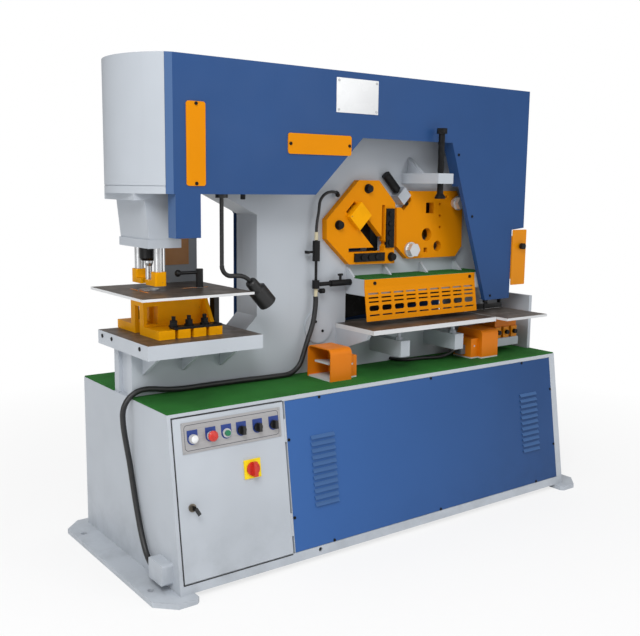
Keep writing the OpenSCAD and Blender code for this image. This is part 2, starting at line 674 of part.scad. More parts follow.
// Black hexagon bolts of the die holder, the angle shear's plate and the notching die
angle_bolts = [[1137, 1476], [975, 1318], [1282, 1168]];
module fixing_bolts() color(black) on_deck() {
    both_sides() {
        slab([flange_x[0] + 68, flange_x[1]], [-flange_half, -flange_half + 48], [flange_top, flange_top + 10]);
        for (x = flange_slots) translate([x, -flange_half + 26, flange_top + 9]) {
            bolt_head(19, 28, 24);
            cylinder(r = 8, h = 40);
        }
    }
    for (p = angle_bolts) translate([p[0], face - angle_t, p[1]]) rotate([90, 0, 0]) {
        cylinder(r = 21, h = 5);
        cylinder(r = 16, h = 20);
    }
    for (x = clamp_x) rod_y([x + 20, shelf_low + 68], clamp_y - 14, clamp_y, 11);
}

// Angle shear
slide_t = 160;
function diagonal(t) = [angle_corner[0] - t, angle_corner[1] + t];
module on_diagonal(t) translate(diagonal(t)) rotate(135) children();
fixed_v = [[1246, 1292], [1210, 1388]];
fixed_h = [[1064, 1238], [1152, 1190]];
pocket = 6;
module angle_plate() color(yellow) on_deck() difference() {
    along_y(face - angle_t, face) difference() {
        polygon([[1086, 1513], [1202, 1513], [1301, 1412], [1301, 1192], [1304, 1137], [1038, 1142],
            [911, 1258], [909, 1342]]);
        translate([angle_corner[0] - angle_slot, angle_corner[1]]) square([angle_slot, angle_leg]);
        translate([angle_corner[0] - angle_leg, angle_corner[1]]) square([angle_leg, angle_slot]);
        on_diagonal(10) translate([0, -channel_w / 2]) square([1.414 * slide_t + 45, channel_w]);
    }
    along_y(face - angle_t - 1, face - angle_t + pocket) {
        window(fixed_v);
        window(fixed_h);
    }
}
// Guide block that slides down the channel towards the corner
module angle_slide() color(yellow) on_deck() {
    along_y(face - angle_t - 24, face - angle_t - slide_clear) on_diagonal(slide_t)
        translate([-42, -46]) square([84, 92]);
    along_y(face - angle_t - 1, face - 6) on_diagonal(slide_t)
        translate([-40, -channel_w / 2 + slide_clear]) square([80, channel_w - 2 * slide_clear]);
}
// Fixed blades: the two of the angle shear and the lower one of the plate shear
module fixed_blades() color(black) on_deck() {
    along_y(face - angle_t - 8, face - angle_t + pocket) {
        window(fixed_v);
        window(fixed_h);
    }
    for (i = [0:3]) blade_bolt([1269, 1234 + i * 43]);
    for (i = [0:2]) blade_bolt([1110 + i * 42, 1171]);
    slab([slot_x, slot_right], [face, face + plate_t - 1], [shear_top - blade_h, shear_top]);
}
module blade_bolt(at) rod_y(at, face - angle_t - 14, face - angle_t - 8, 13);

// Section shear
round_a = [1506, 1264];
round_b = [1578, 1208];
square_b = [1501, 1191];
square_at = [1522, 1389];
module section_holes(more) {
    translate(round_a) circle(round_a_r + more);
    translate(round_b) circle(round_b_r + more);
    translate(square_b) square(22 + 2 * more, center = true);
    translate(square_at) square(square_a + 2 * more, center = true);
}
module section_plate() color(yellow) on_deck() difference() {
    along_y(face - section_t, face) difference() {
        polygon([[1394, 1467], [1696, 1469], [1738, 1400], [1743, 1202], [1700, 1154], [1385, 1154],
            [1318, 1213], [1313, 1392], [1340, 1392], [1357, 1377], [1404, 1428], [1394, 1440]]);
        section_holes(0);
        translate(section_bolt_low) circle(20);
    }
    for (p = [[1587, 1407], [1589, 1352], [1592, 1298], [1630, 1442]])
        rod_y(p, face - section_t - 1, face - section_t + 14, 7);
}
section_bolt_low = [1402, 1196];
section_bolt_high = [1682, 1412];
clamp_at = [1340, 1445];
clamp_y0 = face - 26;
module section_bolts() color(steel) on_deck() {
    rod_y(section_bolt_low, face - section_t, face, 19.9);
    translate([section_bolt_low[0], face - section_t, section_bolt_low[1]]) rotate([90, 0, 0]) bolt_head(36, 56, 36);
    translate([section_bolt_high[0], face - section_t, section_bolt_high[1]]) rotate([90, 0, 0]) {
        cylinder(r = 22, h = 30);
        translate([0, 0, 22]) bolt_head(34, 54, 34);
    }
    difference() {
        along_y(face - 52, face) translate(clamp_at) rotate(45) square([60, 54], center = true);
        clamp_line() cylinder(r = 9 + fit, h = 200, center = true);
    }
}
// Axis of the clamp screw: through its block, down to the right
module clamp_line() translate([clamp_at[0], clamp_y0, clamp_at[1]]) rotate([0, 135, 0]) children();
module clamp_screw() color(black) on_deck() clamp_line() {
    translate([0, 0, -60]) cylinder(r = 9, h = 116);
    translate([0, 0, -134]) cylinder(r = 20, h = 96);
}
screw_top = 1744;
screw_foot = 1435;
module hold_down_screw() color(black) on_deck() translate([screw_at[0], screw_at[1], 0]) {
    translate([0, 0, screw_foot + 20]) cylinder(r = screw_r, h = screw_top - screw_foot - 40);
    translate([0, 0, screw_foot]) rotate_extrude() polygon([[0, 0], [24, 0], [24, 8], [screw_r, 24], [0, 24]]);
    translate([0, 0, screw_top - 24]) cylinder(r = 24, h = 24, $fn = 6);
}

// Shear beam: the moving member between the side plates
function edge_z(x) = pivot_z + (x - pivot_x) * tan(open_deg);
nose_low = 1040;
pad_z = 1440;
module beam_profile() {
    translate([pivot_x, pivot_z]) circle(105);
    polygon([[pivot_x, pivot_z], [slot_right + 15, edge_z(slot_right + 15) + 3], [1850, nose_low - 30],
        [1870, nose_low], [2052, nose_low], [2052, 1200], [1960, 1330], [1905, pad_z], [1768, pad_z],
        [1738, 1520], [1120, 1540], [900, 1440], [pivot_x - 100, pivot_z + 30]]);
}
blade_top = [edge_z(slot_x + 6) + 62, edge_z(slot_right) + 62];
module upper_blade_outline() polygon([
    [slot_x + 6, edge_z(slot_x + 6)], [slot_right, edge_z(slot_right)],
    [slot_right, blade_top[1]], [slot_x + 6, blade_top[0]]]);
v_block = 96;
module shear_beam() color(black) on_deck() difference() {
    along_y(-beam_half, beam_half) difference() {
        beam_profile();
        translate([pivot_x, pivot_z]) circle(pivot_r + fit);
        window(angle_window);
        window(insert_window);
    }
    along_y(-beam_half - 1, -beam_half + blade_t) upper_blade_outline();
}
// Hardened block of the section shear in the beam's window
insert_window = [[section_window[0][0] - 8, section_window[0][1] + 8], [section_window[1][0] - 8, section_window[1][1] + 8]];
module section_insert() color(steel) on_deck() along_y(-beam_half, beam_half) difference() {
    window(insert_window);
    section_holes(1);
}
// Moving tools: the plate shear's upper blade, the angle shear's inner blade and the notching punch
module moving_blades() color(steel) on_deck() {
    along_y(-beam_half, -beam_half + blade_t) upper_blade_outline();
    along_y(-beam_half, beam_half) polygon([
        [angle_corner[0] - angle_slot - 4, angle_corner[1] + angle_slot + 4],
        [angle_corner[0] - angle_slot - 4, angle_corner[1] + angle_slot + 4 + v_block],
        [angle_window[0][1] - 150, angle_window[1][1]], [angle_window[0][0], angle_window[1][1]],
        [angle_window[0][0], angle_window[1][0] + 150],
        [angle_corner[0] - angle_slot - 4 - v_block, angle_corner[1] + angle_slot + 4]]);
    slab([notch_x, notch_x + notch_w], [-beam_half, beam_half], [nose_low - 85, nose_low]);
}
module pivot_pin() color(paint) on_deck() {
    rod_y([pivot_x, pivot_z], face, -face, pivot_r);
    both_sides() rod_y([pivot_x, pivot_z], face - 6, face, pivot_r + 20);
}
shear_barrel = [[seat_x + 3, frame_rise_x - 5], [cylinder_seat, 1800]];
shear_piston = [1690, 50];
module shear_cylinder() color(paint) on_deck() difference() {
    slab(shear_barrel[0], [-110, 110], shear_barrel[1]);
    rod_z([shear_ram_x, 0], cylinder_seat - 1, cylinder_seat + 41, shear_ram_r + fit);
    rod_z([shear_ram_x, 0], cylinder_seat + 40, shear_barrel[1][1] - 30, 55 + fit);
}
module shear_ram() color(steel) on_deck() {
    rod_z([shear_ram_x, 0], pad_z + 0.5, shear_piston[0] + 1, shear_ram_r);
    rod_z([shear_ram_x, 0], shear_piston[0], shear_piston[0] + shear_piston[1], 55);
}

// Plate shear
gusset_x = [slot_x + 6, 1268, 1497, 1722];
module shear_box() color(paint) on_deck() {
    difference() {
        slab([slot_x, slot_right], [face - box_depth, face], [slot_top, box_top]);
        slab([slot_x - 1, slot_right + 1], [face - box_depth + 8, face - 10], [slot_top - 1, box_top - 8]);
    }
    for (x = [slot_x, slot_right - 8]) slab([x, x + 8], [face - box_depth, face], [slot_top, box_top]);
    for (x = gusset_x) along_x(x - 6, x + 6) polygon([[face, box_top], [face - 58, box_top], [face, box_top + 52]]);
}
guard_x = [slot_x - 4, 1728];
guard_top = face - box_depth;
guard_low = 901;
module guard_profile() polygon([
    [guard_top - 4, box_top], [guard_top, box_top], [guard_top, box_top - 34], [guard_top - 22, guard_low],
    [guard_top - 26, guard_low], [guard_top - 4, box_top - 34]]);
// Rows of the guard's slots: height of the lower edge and of the slot
guard_rows = [[116, 7], [98, 7], [80, 7], [44, 24], [22, 7]];
guard_columns = 9;
module shear_guard() color(yellow) on_deck() difference() {
    along_x(guard_x[0], guard_x[1]) guard_profile();
    pitch = (guard_x[1] - guard_x[0] - 20) / guard_columns;
    along_y(guard_top - 40, guard_top + 10) for (c = [0:guard_columns - 1], row = guard_rows) {
        x = guard_x[0] + 10 + (c + 0.5) * pitch;
        if (row[1] > 10) round_rect([x - 29, x + 29], [guard_low + row[0], guard_low + row[0] + row[1]], 11);
        else translate([x - 29, guard_low + row[0]]) square([58, row[1]]);
    }
}
shear_table_x = [991, 1750];
shear_table_y = [-348, face - 2];
module shear_table() color(black) on_deck()
    slab(shear_table_x, shear_table_y, [shear_top - shear_table_t, shear_top]);
// Square bars with levelling screws, the left bracket and the notcher's shelf
tube_x = [1195, 1534];
tube_w = 54;
tube_z = [736, 808];
shelf_low = 705;
shelf_x = [1880, 2046];
shelf_y = -235;
module table_supports() color(paint) on_deck() {
    under = shear_top - shear_table_t;
    for (x = tube_x) {
        slab([x, x + tube_w], [-294, face], tube_z);
        rod_z([x + tube_w / 2, -250], tube_z[1], under, 9);
        translate([x + tube_w / 2, -250, tube_z[1]]) cylinder(r = 17, h = 12, $fn = 6);
    }
    along_x(shear_table_x[0], shear_table_x[0] + 14)
        polygon([[face, under], [-318, under], [-300, under - 26], [face, under - 110]]);
    slab(shelf_x, [shelf_y, face], [shelf_low, shelf_low + 40]);
}

// Notcher
notch_table_x = [1756, 2042];
notch_table_y = [-413, face - 24];
clamp_x = [1884, 1942, 2000];
clamp_y = -228;
module notch_table() color(black) on_deck() {
    slab(notch_table_x, notch_table_y, [shear_top - notch_table_t, shear_top]);
    fence = notch_table_y[1];
    slab([1806, 2036], [fence - 20, fence], [shear_top, shear_top + 25]);
    for (x = [1926, 2024]) along_x(x, x + 8) polygon([
        [fence - 20, shear_top + 25], [fence, shear_top + 25], [fence, shear_top + 78], [fence - 62, shear_top + 78],
        [fence - 62, shear_top + 64], [fence - 20, shear_top + 58]]);
    rod_z([1880, -150], shear_top, shear_top + 40, 5);
    rod_z([1880, -150], shear_top + 40, shear_top + 52, 9);
}
module notch_die() color(yellow) on_deck() {
    difference() {
        slab([notch_x - 20, frame_right - 40], [face, -face], [shelf_z, shear_top]);
        slab([notch_x - notch_clear, notch_x + notch_w + notch_clear],
            [-beam_half - 2, beam_half + 2], [shelf_z - 1, shear_top + 1]);
    }
    slab([1884, 2040], [-222, face - 4], [shelf_low + 40 + 55, shear_top - notch_table_t]);
    for (x = clamp_x) slab([x, x + 40], [clamp_y, face - 30], [shelf_low + 40, shelf_low + 40 + 55]);
}
notch_guard_x = [1950, 2050];
notch_guard_z = [1012, 1284];
module notch_guard() color(yellow) on_deck() {
    front = -cover_half - 8;
    along_y(front, front + 4) round_rect(notch_guard_x, notch_guard_z, 5);
    slab([column_foot[1], column_foot[1] + 4], [front, -cover_half + cover_fold],
        [notch_guard_z[0] + 30, notch_guard_z[1] - 30]);
    rod_y([2008, 1203], front - 6, front, 8);
    rod_y([2008, 1203], front - 24, front - 6, 15);
}

// Foot pedals
tread_axis = 60;
tread_pin_r = 5;
tail_in = 25;
pin_x = pedal_l + tail_l / 2;
module hood(inset, low) {
    round_rect([inset, pedal_w - inset], [low, pedal_h - inset], 24 - inset);
    translate([inset, low]) square([pedal_w - 2 * inset, 40]);
}
module pedal_guard() difference() {
    union() {
        along_x(0, pedal_l) hood(0, 0);
        slab([pedal_l - 1, pedal_l + tail_l], [tail_in, pedal_w - tail_in], [0, 96]);
        slab([pedal_l + tail_l - 1, pedal_l + tail_l + 30], [pedal_w / 2 - 20, pedal_w / 2 + 20], [18, 62]);
    }
    along_x(-1, pedal_l - pedal_wall) hood(pedal_wall, 6);
    slab([0, pedal_l + tail_l - 5], [tail_in + 5, pedal_w - tail_in - 5], [6, 91]);
    rod_y([pin_x, tread_axis], tail_in - 1, pedal_w - tail_in + 1, tread_pin_r);
}
module pedal_at(i) translate([tread_from[i], pedal_y[i], mat_top]) mirror([i, 0, 0]) children();
module pedal_guards() color(yellow) on_deck() for (i = [0, 1]) pedal_at(i) pedal_guard();
// Tread with its pivot in the guard's tail, raised at rest
module tread() {
    along_y(tail_in + 9, pedal_w - tail_in - 9) polygon([[14, 66], [14, 74], [pin_x - 11, tread_axis + 7],
        [pin_x + 7, tread_axis + 7], [pin_x + 7, tread_axis - 7], [pin_x - 11, tread_axis - 7]]);
    rod_y([pin_x, tread_axis], tail_in + 0.5, pedal_w - tail_in - 0.5, tread_pin_r - fit);
}
module left_tread() color(steel) on_deck() pedal_at(0) tread();
module right_tread() color(steel) on_deck() pedal_at(1) tread();

// Door and controls
module cabinet_door() color(paint) placed() on_front() {
    low = rail_low + sheet_gap;
    high = door_top - sheet_gap;
    difference() {
        translate([door_x, low, -door_fold]) cube([door_w, high - low, door_fold]);
        translate([door_x + sheet_t, low + sheet_t, -door_fold - 1])
            cube([door_w - 2 * sheet_t, high - low - 2 * sheet_t, door_fold - sheet_t + 1]);
        for (x = [button_x[1], button_x[2]]) translate([x, button_v, -door_fold]) cylinder(r = 11, h = 2 * door_fold);
        for (x = [button_x[3], button_x[4], button_x[5]])
            translate([x, button_v, -door_fold]) cylinder(r = 9, h = 2 * door_fold);
        translate([isolator_at[0], isolator_at[1], -door_fold]) cylinder(r = 8, h = 2 * door_fold);
        translate([lock_at[0], lock_at[1], -door_fold]) cylinder(r = 10, h = 2 * door_fold);
    }
    difference() {
        translate([isolator_at[0] - isolator_w / 2, isolator_at[1] - isolator_w / 2, 0]) cube([isolator_w, isolator_w, 6]);
        translate([isolator_at[0], isolator_at[1], -1]) cylinder(r = 8, h = 9);
    }
    for (v = hinge_places) difference() {
        union() {
            translate([hinge_x, v + barrel_l + 0.3, 0]) rotate([-90, 0, 0]) cylinder(r = barrel_r, h = 2 * barrel_l - 0.3);
            translate([door_x + door_w - 1, v + barrel_l + 0.3, -sheet_t])
                cube([barrel_r + 1, 2 * barrel_l - 0.3, sheet_t]);
        }
        translate([hinge_x, v + barrel_l - 1, 0]) rotate([-90, 0, 0])
            cylinder(r = pin_r + fit, h = 2 * barrel_l + 2);
    }
}
legend_w = 43;
module control_plate() color(steel) placed() on_front() difference() {
    union() {
        translate([door_x + 32, button_v - 52, 0]) cube([door_w - 48, plate_h, 3]);
        for (x = button_x) translate([x, button_v, 3]) linear_extrude(2) {
            circle(legend_w / 2);
            translate([-legend_w / 2, 0]) square([legend_w, 0.75 * legend_w]);
        }
        translate([button_x[0], button_v, 5]) cylinder(r = bezel_r, h = 14);
        for (x = [button_x[1], button_x[2]]) translate([x, button_v, 5]) cylinder(r = bezel_r, h = 6);
    }
    for (x = [button_x[1], button_x[2]]) translate([x, button_v, -1]) cylinder(r = 11, h = 20);
    for (x = [button_x[3], button_x[4], button_x[5]]) translate([x, button_v, -1]) cylinder(r = 9, h = 20);
}
button_travel = 5;
module button_stem(x, r) translate([x, button_v, -door_fold + 2]) cylinder(r = r - fit, h = door_fold + 8);
module red_button() color("#c02020") placed() on_front() {
    button_stem(button_x[1], 11);
    translate([button_x[1], button_v, 9 + button_travel]) rotate_extrude() polygon([
        [0, -8], [10, -8], [10, 2], [14, 4], [20, 8], [20, 12], [15, 17], [0, 19]]);
}
module green_button() color("#208040") placed() on_front() {
    button_stem(button_x[2], 11);
    translate([button_x[2], button_v, 5]) cylinder(r = 11 - fit, h = 6 + button_travel + 3);
}
module selector(i) translate([button_x[i], button_v, 0]) {
    translate([0, 0, -door_fold + 2]) cylinder(r = 9 - fit, h = door_fold + 4);
    translate([0, 0, 5.3]) cylinder(r = bezel_r, h = 10);
    translate([-6, -bezel_r + 1, 15]) cube([12, 2 * bezel_r - 2, 15]);
}
module selector_a() color(black) placed() on_front() selector(3);
module selector_b() color(black) placed() on_front() selector(4);
module selector_c() color(black) placed() on_front() selector(5);
module isolator_knob() color("#c02020") placed() on_front() translate([isolator_at[0], isolator_at[1], 0]) {
    translate([0, 0, -door_fold + 2]) cylinder(r = 8 - fit, h = door_fold + 6);
    translate([0, 0, 6.3]) cylinder(r = 27, h = 8);
    translate([-8, -28, 14]) cube([16, 56, 18]);
}
module door_lock() color(steel) placed() on_front() translate([lock_at[0], lock_at[1], 0]) {
    translate([0, 0, -door_fold + 1]) cylinder(r = 10 - fit, h = door_fold);
    translate([0, 0, 0.3]) cylinder(r = 15, h = 6);
    translate([-1.5, -9, 6]) cube([3, 18, 26]);
    translate([-4, -6, -door_fold + 1]) mirror([1, 0, 0]) cube([40, 12, 3]);
}

// Stop gauge, its hoses and the lamp
gauge_at = [856, -112];
gauge_arm_z = 1064;
gauge_top = 1290;
gauge_low = 1012;
module gauge_stand() color(black) on_deck() {
    rod_z(gauge_at, gauge_low, gauge_top, 6);
    rod_z(gauge_at, gauge_low, gauge_low + 34, 8);
    rod_z(gauge_at, gauge_top - 34, gauge_top, 8);
    rod_z(gauge_at, 1165, 1252, 16);
    rod_z(gauge_at, gauge_arm_z - 18, gauge_arm_z + 18, 16);
    rod_x([gauge_at[1], gauge_arm_z], gauge_at[0], slot_x, 9);
    rod_x([gauge_at[1], gauge_arm_z], 935, slot_x, 14);
    rod_z([990, gauge_at[1]], gauge_arm_z, gauge_arm_z + 36, 6);
    rod_x([gauge_at[1], gauge_arm_z + 36], 978, 1002, 5);
    rod_x([gauge_at[1], 1205], gauge_at[0] - 46, gauge_at[0], 5);
    slab([gauge_at[0] - 52, gauge_at[0] - 44], [gauge_at[1] - 13, gauge_at[1] + 13], [1199, 1211]);
    rod_x([gauge_at[1], gauge_low + 22], gauge_at[0], gauge_at[0] + 40, 5);
    rod_x([gauge_at[1], gauge_low + 22], gauge_at[0] + 24, gauge_at[0] + 44, 11);
}
// Route of the hose from the gauge to the frame
hose_points = [[856, -112, 1290], [856, -112, 1320], [857, -112, 1350], [861, -112, 1380], [870, -112, 1408],
    [884, -113, 1432], [902, -114, 1449], [922, -118, 1458], [942, -121, 1460], [959, -122, 1457], [970, -120, 1452],
    [975, -112, 1448], [975, -100, 1448]];
module gauge_hose() color(black) on_deck() tube(hose_points, hose_r);
// Route of the cable from the gauge over the deck and down the cabinet's left end
function cable_z(z) = z > deck_z ? z + base_h - deck_z
    : gland_mouth[1] + (z - gland_mouth[1]) * (base_h - gland_mouth[1]) / (deck_z - gland_mouth[1]);
cable_points = [for (p = [[856, -112, 1012], [856, -112, 985], [851, -114, 950], [842, -117, 910], [829, -118, 870],
    [812, -119, 830], [797, -119, 790], [783, -119, 750], [770, -119, 718], [752, -120, 699], [728, -121, 688],
    [690, -121, 686], [640, -120, 686], [590, -119, 686], [540, -115, 686], [480, -111, 686], [420, -108, 686], [360, -106, 686],
    [300, -105, 686], [240, -105, 686], [180, -105, 687], [130, -105, 690], [85, -105, 696], [45, -105, 699],
    [8, -106, 692], [-20, -107, 672], [-36, -108, 640], [-40, -108, 600], [-37, -106, 555], [-30, -102, 510],
    [-23, -100, 465], [-18, -103, 420], [-15, -112, 370], [-14, -126, 320], [-14, -143, 270], [-14, -162, 222],
    [-15, -184, 175], [-16, -210, 133], [-18, -240, 100], [-20, -272, 81], [-22, -300, 75], [-22, -320, 75]])
    [p[0], p[1], cable_z(p[2])]];
module control_cable() color(black) placed() tube(cable_points, cable_r);
lamp_at = [328, -216];
neck_r = 9;
module work_lamp() color(black) on_deck() translate([lamp_at[0], lamp_at[1], 0]) {
    bend = 42;
    knee_z = 1135;
    reach = 70;
    droop = 80;
    tilt = 48;
    neck = concat([for (a = [0:15:90]) [bend * (1 - cos(a)), 0, knee_z + bend * (1 - sin(a))]],
        [for (a = [0:12:tilt]) [reach + droop * sin(a), 0, knee_z - droop * (1 - cos(a))]]);
    rod_z([0, 0], throat_top - 14, throat_top, 24);
    rod_z([0, 0], knee_z + bend - 3, throat_top, neck_r - 1);
    tube(neck, neck_r, 12);
    translate(neck[len(neck) - 1]) rotate([0, 90 + tilt, 0])
        rotate_extrude() polygon([[0, -2], [20, -2], [24, 4], [26, 38], [38, 46], [38, 122], [34, 122], [34, 70], [0, 70]]);
}
// Yellow plates over the openings of the beam cover
module inspection_covers() color(yellow) on_deck() along_y(-cover_half - 4, -cover_half) {
    round_rect([163, 242], [1480, 1785], 10);
    round_rect([612, 930], [1610, 1691], 10);
}

foot_plates();
base_cabinet();
front_panel();
rubber_mats();
electric_panel();
power_unit();
frame_front_plate();
frame_back_plate();
beam_front_cover();
column_front_cover();
rear_cover();
cylinder_cap();
punch_cylinder();
cylinder_housing();
inspection_covers();
punch_table();
work_table();
die_holder();
punch_die();
fixing_bolts();
stripper_columns();
stripper_blocks();
angle_plate();
section_plate();
section_bolts();
shear_box();
shear_guard();
shear_table();
table_supports();
fixed_blades();
notch_table();
notch_die();
notch_guard();
pedal_guards();
pivot_pin();
shear_cylinder();
gauge_stand();
gauge_hose();
control_cable();
work_lamp();
punch_ram();
punch();
shear_beam();
section_insert();
moving_blades();
shear_ram();
cabinet_door();
control_plate();
isolator_knob();
red_button();
green_button();
selector_a();
selector_b();
selector_c();
door_lock();
left_tread();
right_tread();
hold_down_screw();
clamp_screw();
angle_slide();
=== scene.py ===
"""Looks of the hydraulic ironworker: finishes, cords, fasteners and the studio."""

import math

import bmesh
import bpy
from bpy.props import FloatProperty, FloatVectorProperty, PointerProperty
from bpy.types import Operator, Panel, PropertyGroup
from mathutils import Matrix, Vector


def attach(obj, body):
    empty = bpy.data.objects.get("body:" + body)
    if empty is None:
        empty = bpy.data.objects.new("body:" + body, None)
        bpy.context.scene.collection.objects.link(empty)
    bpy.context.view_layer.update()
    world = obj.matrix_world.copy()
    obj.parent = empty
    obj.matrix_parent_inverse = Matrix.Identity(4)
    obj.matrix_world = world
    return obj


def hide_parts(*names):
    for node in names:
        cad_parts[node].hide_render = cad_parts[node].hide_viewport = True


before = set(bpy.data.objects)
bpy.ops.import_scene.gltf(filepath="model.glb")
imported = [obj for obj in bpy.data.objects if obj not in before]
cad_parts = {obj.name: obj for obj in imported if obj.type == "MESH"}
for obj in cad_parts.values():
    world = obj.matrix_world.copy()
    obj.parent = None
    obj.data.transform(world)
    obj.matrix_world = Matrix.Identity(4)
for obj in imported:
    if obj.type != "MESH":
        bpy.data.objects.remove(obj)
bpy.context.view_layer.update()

bl_info = {
    "name": "Ironworker Looks",
    "version": (1, 0, 0),
    "blender": (4, 5, 0),
    "location": "View3D > Sidebar > Ironworker",
    "description": "Finishes, cords, fasteners and studio for the hydraulic ironworker",
    "category": "Object",
}

# Places are measured on the machine in millimetres: x from the cabinet's left end, y from the
# mid plane and z from the floor. The shared frame's origin is the centre of the floor anchors.
BASE_LENGTH = 2146.0
BASE_LEAN = 97.0
BASE_HEIGHT = 669.0
BASE_HALF = 384.0
LEAN = math.atan(BASE_LEAN / BASE_HEIGHT)
SLOPE = BASE_HEIGHT / math.cos(LEAN)
COVER_FACE = -246.0
RIGHT = Vector((1.0, 0.0, 0.0))
BACK = Vector((0.0, 1.0, 0.0))
FRONT = -BACK
UP = Vector((0.0, 0.0, 1.0))
FRONT_SLOPE = Vector((0.0, -math.cos(LEAN), math.sin(LEAN)))
SLOPE_UP = Vector((0.0, math.sin(LEAN), math.cos(LEAN)))


def at(x, y, z):
    """A place on the machine in the shared frame."""
    return Vector(((x - BASE_LENGTH / 2) / 1000, (y + BASE_LEAN / 2) / 1000, z / 1000))


def on_front(x, rise, out=0.0):
    """A place on the cabinet's sloping front: along it, up the slope and outward."""
    foot = at(x, -BASE_HALF - BASE_LEAN, 0)
    return foot + SLOPE_UP * (rise / 1000) + FRONT_SLOPE * (out / 1000)


# Sizes and colours


def colour(label, words, value):
    return FloatVectorProperty(
        name=label, description=words, subtype="COLOR", size=3, min=0, max=1, default=value
    )


def length(label, words, value):
    return FloatProperty(name=label, description=words, default=value, unit="LENGTH", min=0.0001)


class IronworkerColours(PropertyGroup):
    grey: colour("Grey paint", "Paint of the frame and the cabinet", (0.47, 0.505, 0.55))
    blue: colour("Blue paint", "Paint of the covers and the front panel", (0.022, 0.070, 0.205))
    # Painted highlight: a paler blue that stands in for the light and sheen on the covers'
    # left-facing edges.
    edge_highlight: colour("Bent edge", "Blue paint round the covers' left edges", (0.072, 0.138, 0.290))
    # Painted highlight: a paler blue for the up-facing lips of the louvres.
    louvre_highlight: colour("Louvre lips", "Blue paint on the louvres' lips", (0.052, 0.122, 0.285))
    yellow: colour("Yellow paint", "Paint of the guards and shear plates", (0.72, 0.250, 0.001))
    tool: colour("Tool yellow", "Paint of the die holder and strippers", (0.86, 0.370, 0.001))
    pedal: colour("Pedal orange", "Paint of the pedal guards", (0.74, 0.200, 0.003))
    mat: colour("Mat green", "Rubber of the deck mat", (0.021, 0.152, 0.022))
    steel: colour("Bare steel", "Machined steel", (0.60, 0.61, 0.62))
    table: colour("Table top", "Oiled face of the tables", (0.050, 0.037, 0.028))
    edge: colour("Table edge", "Milled edge of the tables", (0.66, 0.67, 0.68))
    # Painted shade: the scale plate's yellow paint darkened to a brown.
    scale: colour("Scale plate", "Scale plate on the rear fence", (0.34, 0.13, 0.012))
    black: colour("Black steel", "Blackened bolts and tools", (0.007, 0.007, 0.0075))
    rubber: colour("Rubber", "Cords and the door's seal", (0.012, 0.012, 0.013))
    fitting: colour("Fitting", "Pale fittings of the gauge", (0.58, 0.52, 0.36))
    tread: colour("Tread", "Treads and floors of the pedals", (0.56, 0.57, 0.57))
    red: colour("Red", "Stop button and isolator knob", (0.60, 0.03, 0.02))
    green: colour("Green", "Start button", (0.01, 0.20, 0.09))
    legend: colour("Legend blue", "Legend plates over the controls", (0.015, 0.045, 0.230))
    signal: colour("Signal yellow", "Isolator plate", (0.88, 0.66, 0.01))
    plate: colour("Control plate", "Satin plate behind the buttons", (0.33, 0.325, 0.33))
    line: colour("Frame line", "Line round the control plate", (0.07, 0.075, 0.09))
    bezel: colour("Bezel", "Bezels of the controls", (0.55, 0.55, 0.56))
    lock: colour("Lock", "Barrel of the door's lock", (0.22, 0.19, 0.15))
    key: colour("Key", "Bow of the door's key", (0.02, 0.02, 0.022))
    switch_plate: colour("Switch plate", "Plate of the switchgear", (0.62, 0.63, 0.62))
    switchgear: colour("Switchgear", "Contactors in the cabinet", (0.09, 0.09, 0.10))
    enamel: colour("Enamel", "Blank name plate", (0.80, 0.81, 0.82))
    lens: colour("Lens", "Lens of the pilot lamp", (0.82, 0.83, 0.84))
    glass: colour("Glass", "Frosted glass of the work lamp", (0.62, 0.62, 0.58))


class IronworkerSizes(PropertyGroup):
    cover_screw: length("Cover screw", "Radius of a cover screw's head", 0.0065)
    panel_screw: length("Panel screw", "Radius of a front panel screw's head", 0.006)
    plate_width: length("Name plate width", "Width of the blank name plate", 0.222)
    plate_height: length("Name plate height", "Height of the blank name plate", 0.139)
    rivet: length("Rivet", "Radius of the name plate's rivets", 0.005)
    cable: length("Cable radius", "Radius of the control cable", 0.011)
    hose: length("Hose radius", "Radius of the gauge's hose", 0.0065)
    pedal_cable: length("Pedal cable radius", "Radius of the right pedal's cable", 0.008)
    lens: length("Lens radius", "Radius of the pilot lamp's lens", 0.014)


class IronworkerStage(PropertyGroup):
    eye: FloatVectorProperty(
        name="Camera", description="Place of the camera", size=3, unit="LENGTH",
        default=(-2.437, -3.0685, 1.487)
    )
    turn: FloatProperty(
        name="Turn", description="Camera's turn from the back towards the right",
        unit="ROTATION", default=math.radians(36.76)
    )
    drop: FloatProperty(
        name="Drop", description="How far the camera looks down", unit="ROTATION",
        default=math.radians(8.67)
    )
    roll: FloatProperty(
        name="Roll", description="Camera's roll", unit="ROTATION", default=math.radians(0.72)
    )
    lens: FloatProperty(
        name="Lens", description="Focal length in millimetres", default=48.85, min=1
    )
    floor: length("Floor", "Radius of the studio floor", 14.0)


def colours():
    return bpy.context.scene.ironworker_colours


def sizes():
    return bpy.context.scene.ironworker_sizes


# Finishes

# Tones of wear: metal under chipped paint, dust on rubber and scratches on the tables.
CHIPPED = (0.10, 0.085, 0.07)
DUSTY = (0.045, 0.044, 0.042)
SCRATCHED = (0.16, 0.14, 0.12)


